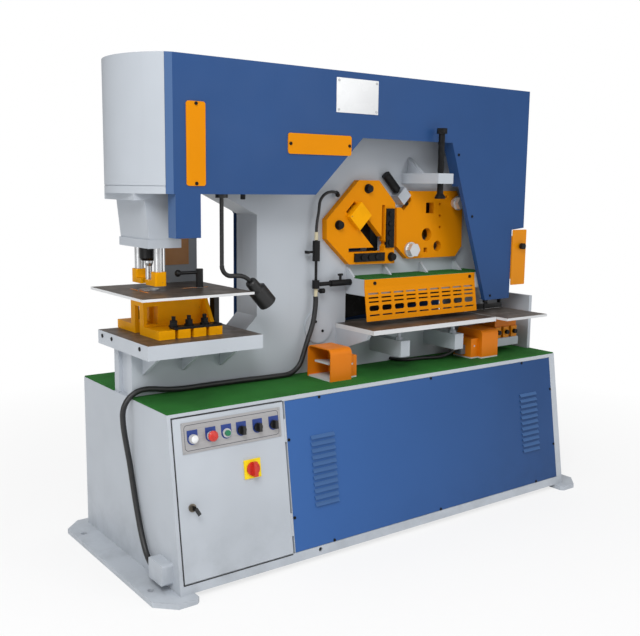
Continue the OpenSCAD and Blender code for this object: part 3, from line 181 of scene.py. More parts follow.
class Finish:
    """A node material read on Object coordinates, in metres."""

    def __init__(self, name):
        self.material = bpy.data.materials.new(name)
        self.material.use_nodes = True
        self.tree = self.material.node_tree
        self.shader = self.tree.nodes["Principled BSDF"]
        self.place = self.tree.nodes.new("ShaderNodeTexCoord").outputs["Object"]
        self.reflect(0.5)

    def reflect(self, level):
        """Sets the strength of the surface's reflections."""
        self.shader.inputs["Specular IOR Level"].default_value = level

    def node(self, kind, **values):
        made = self.tree.nodes.new(kind)
        for key, value in values.items():
            setattr(made, key, value)
        return made

    def join(self, source, target):
        self.tree.links.new(source, target)

    def plug(self, socket, value):
        if isinstance(value, bpy.types.NodeSocket):
            self.join(value, socket)
        else:
            socket.default_value = value

    def stretched(self, scale):
        mapping = self.node("ShaderNodeMapping")
        self.join(self.place, mapping.inputs["Vector"])
        mapping.inputs["Scale"].default_value = scale
        return mapping.outputs["Vector"]

    def noise(self, scale, detail=3.0, rough=0.55, where=None):
        made = self.node("ShaderNodeTexNoise")
        self.join(where or self.place, made.inputs["Vector"])
        made.inputs["Scale"].default_value = scale
        made.inputs["Detail"].default_value = detail
        made.inputs["Roughness"].default_value = rough
        return made.outputs["Fac"]

    def cells(self, scale, where=None):
        made = self.node("ShaderNodeTexVoronoi")
        self.join(where or self.place, made.inputs["Vector"])
        made.inputs["Scale"].default_value = scale
        return made.outputs["Distance"]

    def math(self, operation, first, second=0.0):
        made = self.node("ShaderNodeMath", operation=operation)
        self.plug(made.inputs[0], first)
        self.plug(made.inputs[1], second)
        return made.outputs["Value"]

    def fit(self, value, low, high, to_low=0.0, to_high=1.0):
        made = self.node("ShaderNodeMapRange")
        self.plug(made.inputs["Value"], value)
        keys = ("From Min", "From Max", "To Min", "To Max")
        for key, number in zip(keys, (low, high, to_low, to_high)):
            made.inputs[key].default_value = number
        return made.outputs["Result"]

    def mix(self, share, first, second):
        made = self.node("ShaderNodeMix", data_type="RGBA")
        self.plug(made.inputs["Factor"], share)
        for key, value in zip(("A", "B"), (first, second)):
            socket = [s for s in made.inputs if s.name == key and s.type == "RGBA"][0]
            if isinstance(value, bpy.types.NodeSocket):
                self.join(value, socket)
            else:
                socket.default_value = (*value[:3], 1.0)
        return [s for s in made.outputs if s.type == "RGBA"][0]

    def along(self, axis, origin=(0, 0, 0)):
        """Distance of the surface along an axis from a place, in metres."""
        shift = self.node("ShaderNodeVectorMath", operation="SUBTRACT")
        self.join(self.place, shift.inputs[0])
        shift.inputs[1].default_value = origin
        dot = self.node("ShaderNodeVectorMath", operation="DOT_PRODUCT")
        self.join(shift.outputs["Vector"], dot.inputs[0])
        dot.inputs[1].default_value = axis
        return dot.outputs["Value"]

    def facing(self, axis, least=0.7):
        """1 where the surface faces an axis."""
        seen = self.node("ShaderNodeNewGeometry").outputs["Normal"]
        dot = self.node("ShaderNodeVectorMath", operation="DOT_PRODUCT")
        self.join(seen, dot.inputs[0])
        dot.inputs[1].default_value = axis
        return self.math("GREATER_THAN", dot.outputs["Value"], least)

    def between(self, axis, low, high, origin=(0, 0, 0)):
        place = self.along(axis, origin)
        return self.math(
            "MULTIPLY", self.math("GREATER_THAN", place, low), self.math("LESS_THAN", place, high)
        )

    def both(self, *shares):
        made = shares[0]
        for share in shares[1:]:
            made = self.math("MULTIPLY", made, share)
        return made

    def bump(self, height, strength, distance=0.001):
        made = self.node("ShaderNodeBump")
        self.join(height, made.inputs["Height"])
        made.inputs["Strength"].default_value = strength
        made.inputs["Distance"].default_value = distance
        self.join(made.outputs["Normal"], self.shader.inputs["Normal"])

    def paint(self, value):
        if not isinstance(value, bpy.types.NodeSocket):
            value = (*value[:3], 1)
        self.plug(self.shader.inputs["Base Color"], value)

    def shine(self, value, metal=0.0):
        self.plug(self.shader.inputs["Roughness"], value)
        self.plug(self.shader.inputs["Metallic"], metal)
        return self.material


def shade(value, by):
    return tuple(min(1.0, part * by) for part in value[:3])


def sprayed(finish, value, spread=0.05):
    """Sprayed paint: slow clouds of tone, lighter specks, and grime towards the floor."""
    clouds = finish.fit(finish.noise(1.6, 3), 0.35, 0.65)
    tone = finish.mix(clouds, shade(value, 1 - spread), shade(value, 1 + spread))
    specks = finish.fit(finish.noise(300, 2), 0.70, 0.80, 0, 0.12)
    tone = finish.mix(specks, tone, shade(value, 1.25))
    near_floor = finish.fit(finish.along(UP), 0.02, 0.30, 0.45, 0)
    grime = finish.math("MULTIPLY", near_floor, finish.fit(finish.noise(7, 5, 0.65), 0.42, 0.72))
    return finish.mix(grime, tone, shade(value, 0.55))


def painted(name, value, gloss=0.40, spread=0.05, chips=0.0, also=None, glare=0.18):
    """Semi-gloss machine paint with orange peel and thin run marks, chipped where handled.

    also(finish, face) changes the colour once more, and glare is the strength of reflections.
    """
    finish = Finish(name)
    runs = finish.noise(1.0, 3, where=finish.stretched((22, 22, 1.4)))
    marks = finish.fit(runs, 0.60, 0.85, 0, 0.10)
    face = finish.mix(marks, sprayed(finish, value, spread), shade(value, 0.72))
    if chips:
        oil = finish.fit(finish.noise(11, 4), 0.50, 0.80, 0, chips)
        face = finish.mix(oil, face, shade(value, 0.45))
        bare = finish.fit(finish.noise(80, 5, 0.6), 0.69, 0.71, 0, 0.8)
        face = finish.mix(bare, face, CHIPPED)
    if also:
        face = also(finish, face)
    finish.paint(face)
    finish.bump(finish.noise(420, 2), 0.10, 0.0006)
    finish.reflect(glare)
    return finish.shine(finish.fit(finish.noise(9, 3), 0.3, 0.7, gloss - 0.05, gloss + 0.08))


def steel(name, value, rough=0.30, grain=(600, 600, 30)):
    """Machined steel with a fine drawn grain and dull smears of oil."""
    finish = Finish(name)
    lines = finish.noise(1.0, 2, where=finish.stretched(grain))
    smear = finish.fit(finish.noise(18, 4), 0.45, 0.75, 0, 0.55)
    finish.paint(finish.mix(smear, value, shade(value, 0.55)))
    finish.bump(lines, 0.12, 0.0004)
    return finish.shine(finish.fit(lines, 0.3, 0.7, rough - 0.08, rough + 0.12), 1.0)


def blackened(name, value, rough=0.42, metal=0.12):
    """Oil-blackened steel with rubbed greyer patches."""
    finish = Finish(name)
    rubbed = finish.fit(finish.noise(46, 5), 0.52, 0.72, 0, 0.6)
    finish.paint(finish.mix(rubbed, value, shade(value, 3.2)))
    finish.bump(finish.noise(330, 3), 0.14, 0.0005)
    finish.reflect(0.16)
    return finish.shine(finish.fit(rubbed, 0, 0.6, rough, rough - 0.10), metal)


def moulded(name, value, rough=0.35):
    """Moulded plastic with a fine spark-eroded grain."""
    finish = Finish(name)
    finish.paint(finish.mix(finish.fit(finish.noise(70, 3), 0.35, 0.7), value, shade(value, 0.82)))
    finish.bump(finish.noise(900, 2), 0.12, 0.0003)
    return finish.shine(finish.fit(finish.noise(30, 2), 0.3, 0.7, rough - 0.04, rough + 0.06))


def ribbed_rubber(name, value):
    """Green deck mat: short pile of pressed ribs, trodden darker in patches."""
    finish = Finish(name)
    across = finish.node("ShaderNodeTexWave", wave_type="BANDS", bands_direction="Y")
    finish.join(finish.place, across.inputs["Vector"])
    across.inputs["Scale"].default_value = 55
    across.inputs["Distortion"].default_value = 0.6
    grain = finish.cells(520)
    trodden = finish.fit(finish.noise(5, 4), 0.42, 0.72, 0, 0.75)
    tone = finish.mix(trodden, shade(value, 1.12), shade(value, 0.62))
    finish.paint(finish.mix(finish.fit(grain, 0.1, 0.6), shade(value, 0.6), tone))
    finish.bump(finish.math("ADD", across.outputs["Fac"], grain), 0.55, 0.0015)
    finish.reflect(0.2)
    return finish.shine(0.82)


def rubber_sheath(name, value):
    """Black rubber sheath with dust in its fine rings."""
    finish = Finish(name)
    dust = finish.fit(finish.noise(60, 4), 0.5, 0.8, 0, 0.5)
    finish.paint(finish.mix(dust, value, DUSTY))
    finish.bump(finish.noise(700, 2), 0.2, 0.0004)
    return finish.shine(finish.fit(dust, 0, 0.5, 0.42, 0.62))


def worn_top(finish, oiled):
    """Oiled and scratched table face."""
    streaks = finish.noise(1.0, 3, where=finish.stretched((9, 120, 9)))
    stains = finish.fit(finish.noise(14, 5), 0.40, 0.70)
    tone = finish.mix(stains, oiled, shade(oiled, 2.1))
    return finish.mix(finish.fit(streaks, 0.58, 0.74, 0, 0.35), tone, SCRATCHED)


def table_finish(name, side, gloss=0.40, extra=None):
    """Table: an oiled dark face on top, and its edges in another tone."""
    finish = Finish(name)
    top = finish.facing(UP, 0.8)
    edges = sprayed(finish, side, 0.07)
    face = finish.mix(top, edges, worn_top(finish, colours().table))
    if extra:
        for share, value in extra(finish):
            face = finish.mix(share, face, value)
    finish.paint(face)
    finish.bump(finish.noise(300, 3), 0.12, 0.0005)
    return finish.shine(finish.fit(finish.noise(20, 3), 0.3, 0.7, gloss - 0.06, gloss + 0.1))


def two_tone(name, base, parts, gloss=0.38, metal=0.0):
    """Paint with areas of another tone, each told by its place on the piece."""
    finish = Finish(name)
    face = sprayed(finish, base, 0.09)
    for area, value in parts:
        face = finish.mix(area(finish), face, value)
    finish.paint(face)
    finish.bump(finish.noise(380, 2), 0.10, 0.0005)
    if not metal:
        finish.reflect(0.22)
    rough = finish.fit(finish.noise(12, 3), 0.3, 0.7, gloss - 0.05, gloss + 0.09)
    return finish.shine(rough, metal)


def dress(node, material):
    """Puts a finish on a CAD node."""
    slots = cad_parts[node].data.materials
    slots.clear()
    slots.append(material)


# Modelling by hand


def clear_selection():
    if bpy.context.mode != "OBJECT":
        bpy.ops.object.mode_set(mode="OBJECT")
    bpy.ops.object.select_all(action="DESELECT")


def pick_faces(piece, test):
    """In edit mode, selects the faces that pass a test."""
    bpy.ops.mesh.select_mode(type="FACE")
    mesh = bmesh.from_edit_mesh(piece.data)
    for face in mesh.faces:
        face.select_set(bool(test(face)))
    mesh.select_flush_mode()
    bmesh.update_edit_mesh(piece.data)


def pick_edges(piece, test):
    """In edit mode, selects the edges that pass a test."""
    bpy.ops.mesh.select_mode(type="EDGE")
    mesh = bmesh.from_edit_mesh(piece.data)
    for face in mesh.faces:
        face.select_set(False)
    for edge in mesh.edges:
        edge.select_set(bool(test(edge)))
    mesh.select_flush_mode()
    bmesh.update_edit_mesh(piece.data)


def sink(amount):
    """Pushes the picked faces in or out along Z with new walls."""
    bpy.ops.mesh.extrude_region_move(TRANSFORM_OT_translate={"value": (0, 0, amount)})


def turned_head(name, radius, height, socket=0.5, sides=24):
    """A round head that stands on z = 0: a rounded rim and a sunk socket."""
    clear_selection()
    bpy.ops.mesh.primitive_cylinder_add(
        vertices=sides, radius=radius, depth=height, location=(0, 0, height / 2)
    )
    piece = bpy.context.object
    piece.name = name
    bpy.ops.object.transform_apply(location=True, rotation=True, scale=True)
    bpy.ops.object.mode_set(mode="EDIT")
    top = height - 1e-6
    pick_edges(piece, lambda e: all(v.co.z > top for v in e.verts))
    bpy.ops.mesh.bevel(offset=min(radius, height) * 0.3, segments=3, affect="EDGES")
    pick_faces(piece, lambda f: f.normal.z > 0.99 and f.calc_center_median().z > height * 0.9)
    if socket:
        bpy.ops.mesh.inset(thickness=radius * 0.7 * (1 - socket))
        sink(-height * 0.55)
    bpy.ops.object.mode_set(mode="OBJECT")
    bpy.ops.object.shade_smooth_by_angle(angle=math.radians(40))
    return piece


def stand_on(axis):
    """Turn that lays +Z along an axis."""
    return axis.to_track_quat("Z", "Y").to_matrix().to_4x4()


def copies(piece, name, places, axis):
    """One object made of a copy of the piece at each place, standing along an axis."""
    clear_selection()
    made = []
    for place in places:
        copy = piece.copy()
        copy.data = piece.data.copy()
        copy.data.transform(Matrix.Translation(place) @ stand_on(axis))
        bpy.context.scene.collection.objects.link(copy)
        copy.select_set(True)
        made.append(copy)
    bpy.data.objects.remove(piece)
    bpy.context.view_layer.objects.active = made[0]
    if len(made) > 1:
        bpy.ops.object.join()
    whole = bpy.context.view_layer.objects.active
    whole.name = name
    return whole


def settle(piece, body, material):
    """Gives a finished piece its finish and its body."""
    piece.data.materials.clear()
    piece.data.materials.append(material)
    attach(piece, body)
    return piece


def bevelled_plate(name, corner, size, bevel):
    """A flat plate with softened edges, from its low corner and its size in metres."""
    clear_selection()
    centre = Vector(corner) + Vector(size) / 2
    bpy.ops.mesh.primitive_cube_add(size=1, location=centre)
    piece = bpy.context.object
    piece.name = name
    piece.scale = size
    bpy.ops.object.transform_apply(location=True, rotation=True, scale=True)
    bpy.ops.object.mode_set(mode="EDIT")
    bpy.ops.mesh.select_all(action="SELECT")
    bpy.ops.mesh.bevel(offset=bevel, segments=2, affect="EDGES")
    bpy.ops.object.mode_set(mode="OBJECT")
    bpy.ops.object.shade_smooth_by_angle(angle=math.radians(35))
    return piece


# Operators


class IRONWORKER_OT_finishes(Operator):
    """Paint, steel, rubber and plastic on the CAD pieces"""

    bl_idname = "ironworker.finishes"
    bl_label = "Finishes"

    GREY = (
        "foot_plates", "base_cabinet", "frame_front_plate", "frame_back_plate", "cylinder_cap",
        "punch_cylinder", "cylinder_housing", "shear_box", "table_supports", "pivot_pin",
        "shear_cylinder",
    )
    YELLOW = ("inspection_covers", "shear_guard", "section_plate", "angle_plate")
    OILY = ("die_holder", "stripper_blocks", "angle_slide")
    BLACK = (
        "fixing_bolts", "fixed_blades", "shear_beam", "hold_down_screw", "moving_blades",
        "clamp_screw",
    )
    BARE = (
        "punch_die", "stripper_columns", "punch", "section_insert", "shear_ram", "power_unit",
    )
    # Heights and places that part one tone from the next, in millimetres.
    UPPER_TABLE = 1064
    NOTCH_TABLE = 881
    PEDAL_FLOOR = 680.2
    PEDAL_FRONT = -302
    GUARD_ENDS = (957, 1667)
    FENCE = 170
    POST = -30
    # x and y ranges of the two slots in the upper table.
    SLOTS = (((69.5, 80.5), (-100.5, 60.5)), ((255.5, 372.5), (-36.5, -23.5)))

    def execute(self, context):
        tone = colours()
        self.paints(tone)
        self.tools(tone)
        self.tables(tone)
        self.controls(tone)
        return {"FINISHED"}

    def paints(self, tone):
        """One finish for each group of plain pieces, and the folded blue sheets with painted
        highlights.
        """

        # Painted highlight: faces turned to the left get the paler blue, on the beam cover's bent
        # edge and on the rear cover's shaded left edge.
        def paint_edge_highlight(finish, face):
            return finish.mix(finish.facing(-RIGHT, 0.35), face, tone.edge_highlight)

        # Painted sheen: the panel's blue is paler towards its left end, standing in for the
        # reflection on the glossy panel, over a base blue darkened to 0.92; faces turned up on the
        # louvres get a paler blue as a painted highlight.
        def paint_panel_sheen(finish, face):
            sheen_share = finish.fit(finish.along(RIGHT), -0.55, 0.95, 0.9, 0)
            face = finish.mix(sheen_share, face, shade(tone.blue, 1.75))
            return finish.mix(finish.facing(UP, 0.34), face, tone.louvre_highlight)

        folded = painted("cover_blue_edge_highlight", tone.blue, 0.38, 0.06, also=paint_edge_highlight)
        panel = painted("panel_blue_painted_sheen", shade(tone.blue, 0.92), 0.38, 0.06, also=paint_panel_sheen)
        for nodes, finish in (
            (self.GREY, painted("grey_paint", tone.grey, 0.42)),
            (("column_front_cover",), painted("blue_paint", tone.blue, 0.38, 0.06)),
            (("beam_front_cover", "rear_cover"), folded),
            (("front_panel",), panel),
            (self.YELLOW, painted("yellow_paint", tone.yellow, 0.40, 0.05, glare=0.06)),
            (self.OILY, painted("tool_yellow", tone.tool, 0.36, 0.06, 0.30, glare=0.06)),
            (self.BLACK, blackened("blackened_steel", tone.black)),
            (self.BARE, steel("bare_steel", tone.steel)),
            (("rubber_mats",), ribbed_rubber("deck_mat", tone.mat)),
        ):
            for node in nodes:
                dress(node, finish)

    def tools(self, tone):
        """Pieces of more than one tone at the punch, the shears, the notcher and the pedals."""
        face = at(0, COVER_FACE - 8, 0)
        dress("notch_guard", two_tone("notch_guard_yellow", tone.yellow, [
            (lambda f: f.math("LESS_THAN", f.along(BACK, face), -0.0005), tone.black),
        ], 0.40))
        left, right = (at(x, 0, 0) for x in self.GUARD_ENDS)
        floor, front = at(0, 0, self.PEDAL_FLOOR), at(0, self.PEDAL_FRONT, 0)
        dress("pedal_guards", two_tone("pedal_orange", tone.pedal, [
            (lambda f: f.both(
                f.math("LESS_THAN", f.along(UP, floor), 0),
                f.between(BACK, 0.006, 0.152, front),
            ), tone.tread),
            # Painted shade: the guard's two ends get the grey darkened, the right end more than the
            # left.
            (lambda f: f.between(RIGHT, 0.0005, 0.04, left), shade(tone.grey, 0.45)),
            (lambda f: f.between(RIGHT, -0.04, -0.0005, right), shade(tone.grey, 0.35)),
        ], 0.40))
        tread = two_tone("tread_grey", tone.tread, [], 0.42)
        dress("left_tread", tread)
        dress("right_tread", tread)
        upper, lower, stand = at(0, 0, 1256), at(0, 0, 1046), at(856, 0, 0)
        dress("gauge_stand", two_tone("gauge_black", tone.black, [
            (lambda f: f.math("GREATER_THAN", f.along(UP, upper), 0), tone.fitting),
            (lambda f: f.both(
                f.math("LESS_THAN", f.along(UP, lower), 0),
                f.between(RIGHT, -0.01, 0.0085, stand),
            ), tone.fitting),
        ], 0.45))
        clamp = at(1340, 0, 1445)
        dress("section_bolts", two_tone("clamp_steel", tone.steel, [
            (lambda f: f.both(
                f.between(RIGHT, -0.05, 0.05, clamp), f.between(UP, -0.05, 0.05, clamp),
            ), tone.grey),
        ], 0.34, 0.6))
        nut = at(0, 0, 1243)
        dress("punch_ram", two_tone("ram_black", tone.black, [
            (lambda f: f.math("GREATER_THAN", f.along(UP, nut), 0), tone.steel),
        ], 0.36, 0.5))
        ledge, rear = at(0, 0, 799), at(0, -82, 0)
        dress("notch_die", two_tone("notch_yellow", tone.yellow, [
            (lambda f: f.between(UP, -0.001, 0.2, ledge), shade(tone.pedal, 0.8)),
            (lambda f: f.math("GREATER_THAN", f.along(BACK, rear), 0), shade(tone.steel, 0.35)),
        ]))

    def tables(self, tone):
        """Oiled tables, with the post, the fence and the stops on them."""
        low, fence = at(0, 0, self.UPPER_TABLE), at(0, self.FENCE, 0)

        def post(finish):
            """Yellow slots, black post and lever, the fence in a darker grey and its scale plate in
            a brown, both painted shade.
            """
            height = finish.along(UP, low)
            above = finish.math("GREATER_THAN", height, 0.0115)
            below = finish.math("LESS_THAN", height, 0.0108)
            for x, y in self.SLOTS:
                yield finish.both(
                    below,
                    finish.between(RIGHT, 0, (x[1] - x[0]) / 1000, at(x[0], 0, 0)),
                    finish.between(BACK, 0, (y[1] - y[0]) / 1000, at(0, y[0], 0)),
                ), tone.yellow
            yield finish.math("LESS_THAN", height, 0.0), tone.black
            centre = at(0, self.POST, 0)
            yield finish.both(above, finish.between(BACK, -0.03, 0.03, centre)), tone.black
            # Painted shade: the fence behind the table gets the grey at half strength.
            behind = finish.math("GREATER_THAN", finish.along(BACK, fence), 0)
            yield finish.both(above, behind), shade(tone.grey, 0.5)
            # Painted shade: the scale plate on the fence gets the darkened yellow.
            yield finish.both(
                above,
                finish.between(BACK, 0, 0.0179, fence),
                finish.between(UP, 0.08, 0.24, low),
            ), tone.scale

        high = at(0, 0, self.NOTCH_TABLE)

        def stops(finish):
            yield finish.math("GREATER_THAN", finish.along(UP, high), 0.0), tone.black

        dress("punch_table", table_finish("lower_table", tone.grey))
        dress("shear_table", table_finish("shear_table_face", tone.edge))
        dress("work_table", table_finish("upper_table", tone.edge, extra=post))
        dress("notch_table", table_finish("notch_table_face", tone.edge, extra=stops))

    def controls(self, tone):
        """The cabinet's door, what is on it and what is behind it."""
        foot, isolator = on_front(0, 0), at(337, 0, 0)
        # Painted highlight: the door's grey is 3 % lighter than the cabinet's, for the light that
        # the sloping door catches from above.
        dress("cabinet_door", two_tone("door_grey_painted_lighter", shade(tone.grey, 1.03), [
            (lambda f: f.both(
                f.between(RIGHT, -0.05, 0.05, isolator),
                f.between(SLOPE_UP, 0.37, 0.48, foot),
                f.math("GREATER_THAN", f.along(FRONT_SLOPE, foot), 0.0005),
            ), tone.signal),
        ]))
        dress("control_plate", self.control_plate(tone))
        red = moulded("red_plastic", tone.red, 0.28)
        dress("red_button", red)
        dress("isolator_knob", red)
        dress("green_button", moulded("green_plastic", tone.green, 0.3))
        soft_black = moulded("black_plastic", shade(tone.black, 1.2), 0.4)
        for node in ("selector_a", "selector_b", "selector_c", "work_lamp"):
            dress(node, soft_black)
        dress("door_lock", two_tone("lock_metal", tone.lock, [
            (lambda f: f.math("GREATER_THAN", f.along(FRONT_SLOPE, foot), 0.0065), tone.black),
        ], 0.32, 0.7))
        gear = at(0, 300, 0)
        dress("electric_panel", two_tone("switchgear", tone.switch_plate, [
            (lambda f: f.math("LESS_THAN", f.along(BACK, gear), 0), tone.switchgear),
        ], 0.45))

    @staticmethod
    def control_plate(tone):
        """Satin plate with a thin dark frame line, blue legends and bright bezels."""
        finish = Finish("control_plate_satin")
        brushed = finish.noise(1.0, 2, where=finish.stretched((14, 900, 900)))
        face = finish.mix(finish.fit(brushed, 0.3, 0.7), tone.plate, shade(tone.plate, 1.25))
        out = finish.along(FRONT_SLOPE, on_front(0, 0))
        side = finish.math("ABSOLUTE", finish.along(RIGHT, at(266, 0, 0)))
        rise = finish.math("ABSOLUTE", finish.along(SLOPE_UP, on_front(0, SLOPE - 93)))
        past = [
            finish.math("MAXIMUM", finish.math("SUBTRACT", far, near), 0.0)
            for far, near in ((side, 0.191), (rise, 0.034))
        ]
        squares = (finish.math("POWER", far, 2.0) for far in past)
        corner = finish.math("SQRT", finish.math("ADD", *squares))
        line = finish.both(
            finish.math("GREATER_THAN", corner, 0.0115), finish.math("LESS_THAN", corner, 0.0138)
        )
        face = finish.mix(line, face, tone.line)
        face = finish.mix(finish.math("GREATER_THAN", out, 0.0036), face, tone.legend)
        face = finish.mix(finish.math("GREATER_THAN", out, 0.0056), face, tone.bezel)
        finish.paint(face)
        finish.bump(brushed, 0.08, 0.0003)
        return finish.shine(finish.fit(brushed, 0.3, 0.7, 0.34, 0.46), 0.15)


class IRONWORKER_OT_cords(Operator):
    """Control cable over the deck, hose of the stop gauge and the right pedal's cable"""

    bl_idname = "ironworker.cords"
    bl_label = "Cords"

    # Routes in millimetres; the hose goes on into the bent fitting.
    CABLE = (
        (856, -112, 1012), (856, -112, 985), (851, -114, 950), (842, -117, 910), (829, -118, 870),
        (812, -119, 830), (797, -119, 790), (783, -119, 750), (773, -119, 729),
        (758, -120, 711.5), (739, -120.5, 698), (718, -121, 689), (693, -121, 686),
        (640, -120, 686), (590, -119, 686), (540, -115, 686), (480, -111, 686), (420, -108, 686),
        (360, -106, 686), (300, -105, 686), (240, -105, 686), (180, -105, 688),
        (130, -105, 693.5), (85, -105, 701), (48, -105, 704), (22, -105.5, 700.4),
        (-2, -106, 689.7), (-22, -107, 673), (-36.5, -107.5, 651), (-44, -108, 625),
        (-44.5, -108, 597), (-40, -106, 555), (-32, -102, 510), (-24, -100, 465),
        (-18, -103, 420), (-15, -112, 370), (-14, -126, 320), (-14, -143, 270), (-14, -162, 222),
        (-15, -184, 175), (-16, -210, 133), (-18, -240, 100), (-20, -272, 81), (-22, -300, 75),
        (-22, -320, 75),
    )
    HOSE = (
        (856, -112, 1290), (856, -112, 1305), (858, -112, 1326), (862, -112, 1350),
        (867, -112, 1375), (869.7, -112, 1399.3), (873.4, -112.5, 1420.5), (884.2, -114, 1439.2),
        (900.7, -116, 1453), (920.9, -118.5, 1460.4), (939.3, -119.7, 1460.8),
        (956.7, -120, 1456.1),
    )
    ELBOW = (
        (956.7, -120, 1456.1), (963.7, -118.5, 1453), (969.6, -114.1, 1450.4),
        (973.6, -107.7, 1448.6), (975, -100, 1448),
    )
    PEDAL_CABLE = (
        (1637, -214, 714), (1618, -214, 714), (1600, -213, 709), (1580, -209, 699),
        (1558, -202, 690), (1530, -190, 684.5), (1500, -177, 683), (1470, -167, 683),
        (1440, -161, 683), (1415, -158.5, 683), (1400, -158, 683), (1380, -155.3, 683),
        (1361, -147.5, 683), (1345, -135, 683), (1332.5, -119, 683), (1324.7, -100, 683),
        (1322, -80, 683),
    )
    # The fitting's tube and nuts: radii in radii of the hose, and the nuts' length in metres.
    TUBE_SHARE = 1.1
    NUT_SHARE = 1.6
    NUT_LENGTH = 0.011
    NUT_SIDES = 6

    def execute(self, context):
        sheath = rubber_sheath("cord_rubber", colours().rubber)
        self.lay("control_cable_cord", self.CABLE, sizes().cable, "control_cable", sheath)
        self.lay(
            "gauge_hose_cord", self.HOSE, sizes().hose, "gauge_hose", sheath,
            far_end="fitting", with_pieces=[self.elbow()],
        )
        self.lay("pedal_cable_cord", self.PEDAL_CABLE, sizes().pedal_cable, None, sheath)
        return {"FINISHED"}

    @staticmethod
    def tube(name, points, radius):
        """A round tube on a smooth curve through the points."""
        curve = bpy.data.curves.new(name, "CURVE")
        curve.dimensions = "3D"
        curve.bevel_depth = radius
        curve.bevel_resolution = 5
        curve.resolution_u = 6
        curve.use_fill_caps = True
        spline = curve.splines.new("BEZIER")
        spline.bezier_points.add(len(points) - 1)
        for knot, point in zip(spline.bezier_points, points):
            knot.co = point
            knot.handle_left_type = knot.handle_right_type = "AUTO"
        piece = bpy.data.objects.new(name, curve)
        bpy.context.scene.collection.objects.link(piece)
        return piece

    def elbow(self):
        """Bent steel fitting with a nut at each end, from the hose into the frame plate."""
        points = [at(*place) for place in self.ELBOW]
        radius = sizes().hose
        bend = self.tube("hose_elbow", points, radius * self.TUBE_SHARE)
        clear_selection()
        bend.select_set(True)
        bpy.context.view_layer.objects.active = bend
        bpy.ops.object.convert(target="MESH")
        bend = bpy.context.object
        ahead = (points[0] - points[1]).normalized()
        ends = (
            ("hose_nut", points[0] - ahead * self.NUT_LENGTH / 2, ahead),
            ("plate_nut", points[-1], FRONT),
        )
        nuts = []
        for name, place, axis in ends:
            head = turned_head("nut", radius * self.NUT_SHARE, self.NUT_LENGTH, 0, self.NUT_SIDES)
            nuts.append(copies(head, name, [place], axis))
        clear_selection()
        for piece in (bend, *nuts):
            piece.select_set(True)
        bpy.context.view_layer.objects.active = bend
        bpy.ops.object.join()
        bend.name = "hose_elbow"
        dark = blackened("elbow_steel", colours().black)
        return settle(bend, "machine", dark)

    def lay(self, name, route, radius, node, material, far_end="object", with_pieces=()):
        points = [at(*place) for place in route]
        piece = self.tube(name, points, radius)
        piece.data.materials.append(material)
        run = sum((b - a).length for a, b in zip(points, points[1:]))
        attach(piece, "machine")
        if node:
            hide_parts(node)
        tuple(points[0])


class IRONWORKER_OT_name_plate(Operator):
    """Blank white name plate with its rivets"""

    bl_idname = "ironworker.name_plate"
    bl_label = "Name Plate"

    # Low left corner and thickness in millimetres; the rivets' places are shares of the plate.
    CORNER = (850, 1784)
    THICK = 2.4
    ACROSS = (0.05, 0.95)
    ALONG = (0.08, 0.92)

    def execute(self, context):
        size = sizes()
        corner = at(self.CORNER[0], COVER_FACE - self.THICK, self.CORNER[1])
        wide, high = size.plate_width, size.plate_height
        plate = bevelled_plate("name_plate", corner, (wide, self.THICK / 1000, high), 0.0009)
        white = two_tone("enamel_white", colours().enamel, [], 0.26)
        settle(plate, "machine", white)
        rivets = [
            corner + Vector((x * wide, 0, z * high)) for x in self.ACROSS for z in self.ALONG
        ]
        head = turned_head("rivet", size.rivet, 0.0026, 0)
        settle(copies(head, "name_plate_rivets", rivets, FRONT), "machine",
               steel("rivet_steel", shade(colours().steel, 0.8)))
        return {"FINISHED"}


class IRONWORKER_OT_screws(Operator):
    """Socket screws of the covers, the panel, the guard, the table and the pivot cover"""

    bl_idname = "ironworker.screws"
    bl_label = "Screws"

    # Places in millimetres: x and z, or x and the rise up the sloping front, or y and z.
    COVER = ((203, 1489), (203, 1777), (623, 1650), (919, 1650))
    COLUMN = ((1563, 1634), (1666, 1352), (1811, 968))
    PANEL = (
        (675, 653), (1294, 653), (1900, 653), (2099, 501), (2099, 225), (514, 505), (514, 196),
        (700, 64), (1300, 64), (1950, 64),
    )
    GUARD = ((1098, 1066), (1692, 1066))
    TABLE = ((135, 884), (45, 884), (-208, 884))
    PIVOT = ((876, 896), (914, 852))
    # Faces that the heads stand on.
    INSPECTION_FACE = COVER_FACE - 4
    GUARD_FACE = -219
    TABLE_END = -16
    PIVOT_FACE = -86
    THROAT = (422, -218, 1450)

    def execute(self, context):
        size = sizes()
        inspection = [at(x, self.INSPECTION_FACE, z) for x, z in self.COVER]
        column = [at(x, COVER_FACE, z) for x, z in self.COLUMN]
        panel = [on_front(x, rise) for x, rise in self.PANEL]
        guard = [at(x, self.GUARD_FACE, z) for x, z in self.GUARD]
        table = [at(self.TABLE_END, y, z) for y, z in self.TABLE]
        pivot = [at(x, self.PIVOT_FACE, z) for x, z in self.PIVOT]
        black = blackened("screw_black", colours().black)
        # Name, radius, height and socket of the head, its places and the way that it faces.
        for name, radius, height, socket, places, axis in (
            ("inspection_screws", size.cover_screw, 0.004, 0.5, inspection, FRONT),
            ("column_screws", size.panel_screw, 0.0035, 0.5, column, FRONT),
            ("panel_screws", size.panel_screw, 0.003, 0.5, panel, FRONT_SLOPE),
            ("guard_screws", size.cover_screw * 1.2, 0.005, 0.5, guard, FRONT),
            ("table_screws", 0.008, 0.003, 0.6, table, -RIGHT),
            ("throat_screw", 0.010, 0.020, 0.5, [at(*self.THROAT)], -UP),
            ("pivot_screws", 0.006, 0.005, 0.5, pivot, FRONT),
        ):
            head = turned_head("screw", radius, height, socket)
            settle(copies(head, name, places, axis), "machine", black)
        return {"FINISHED"}


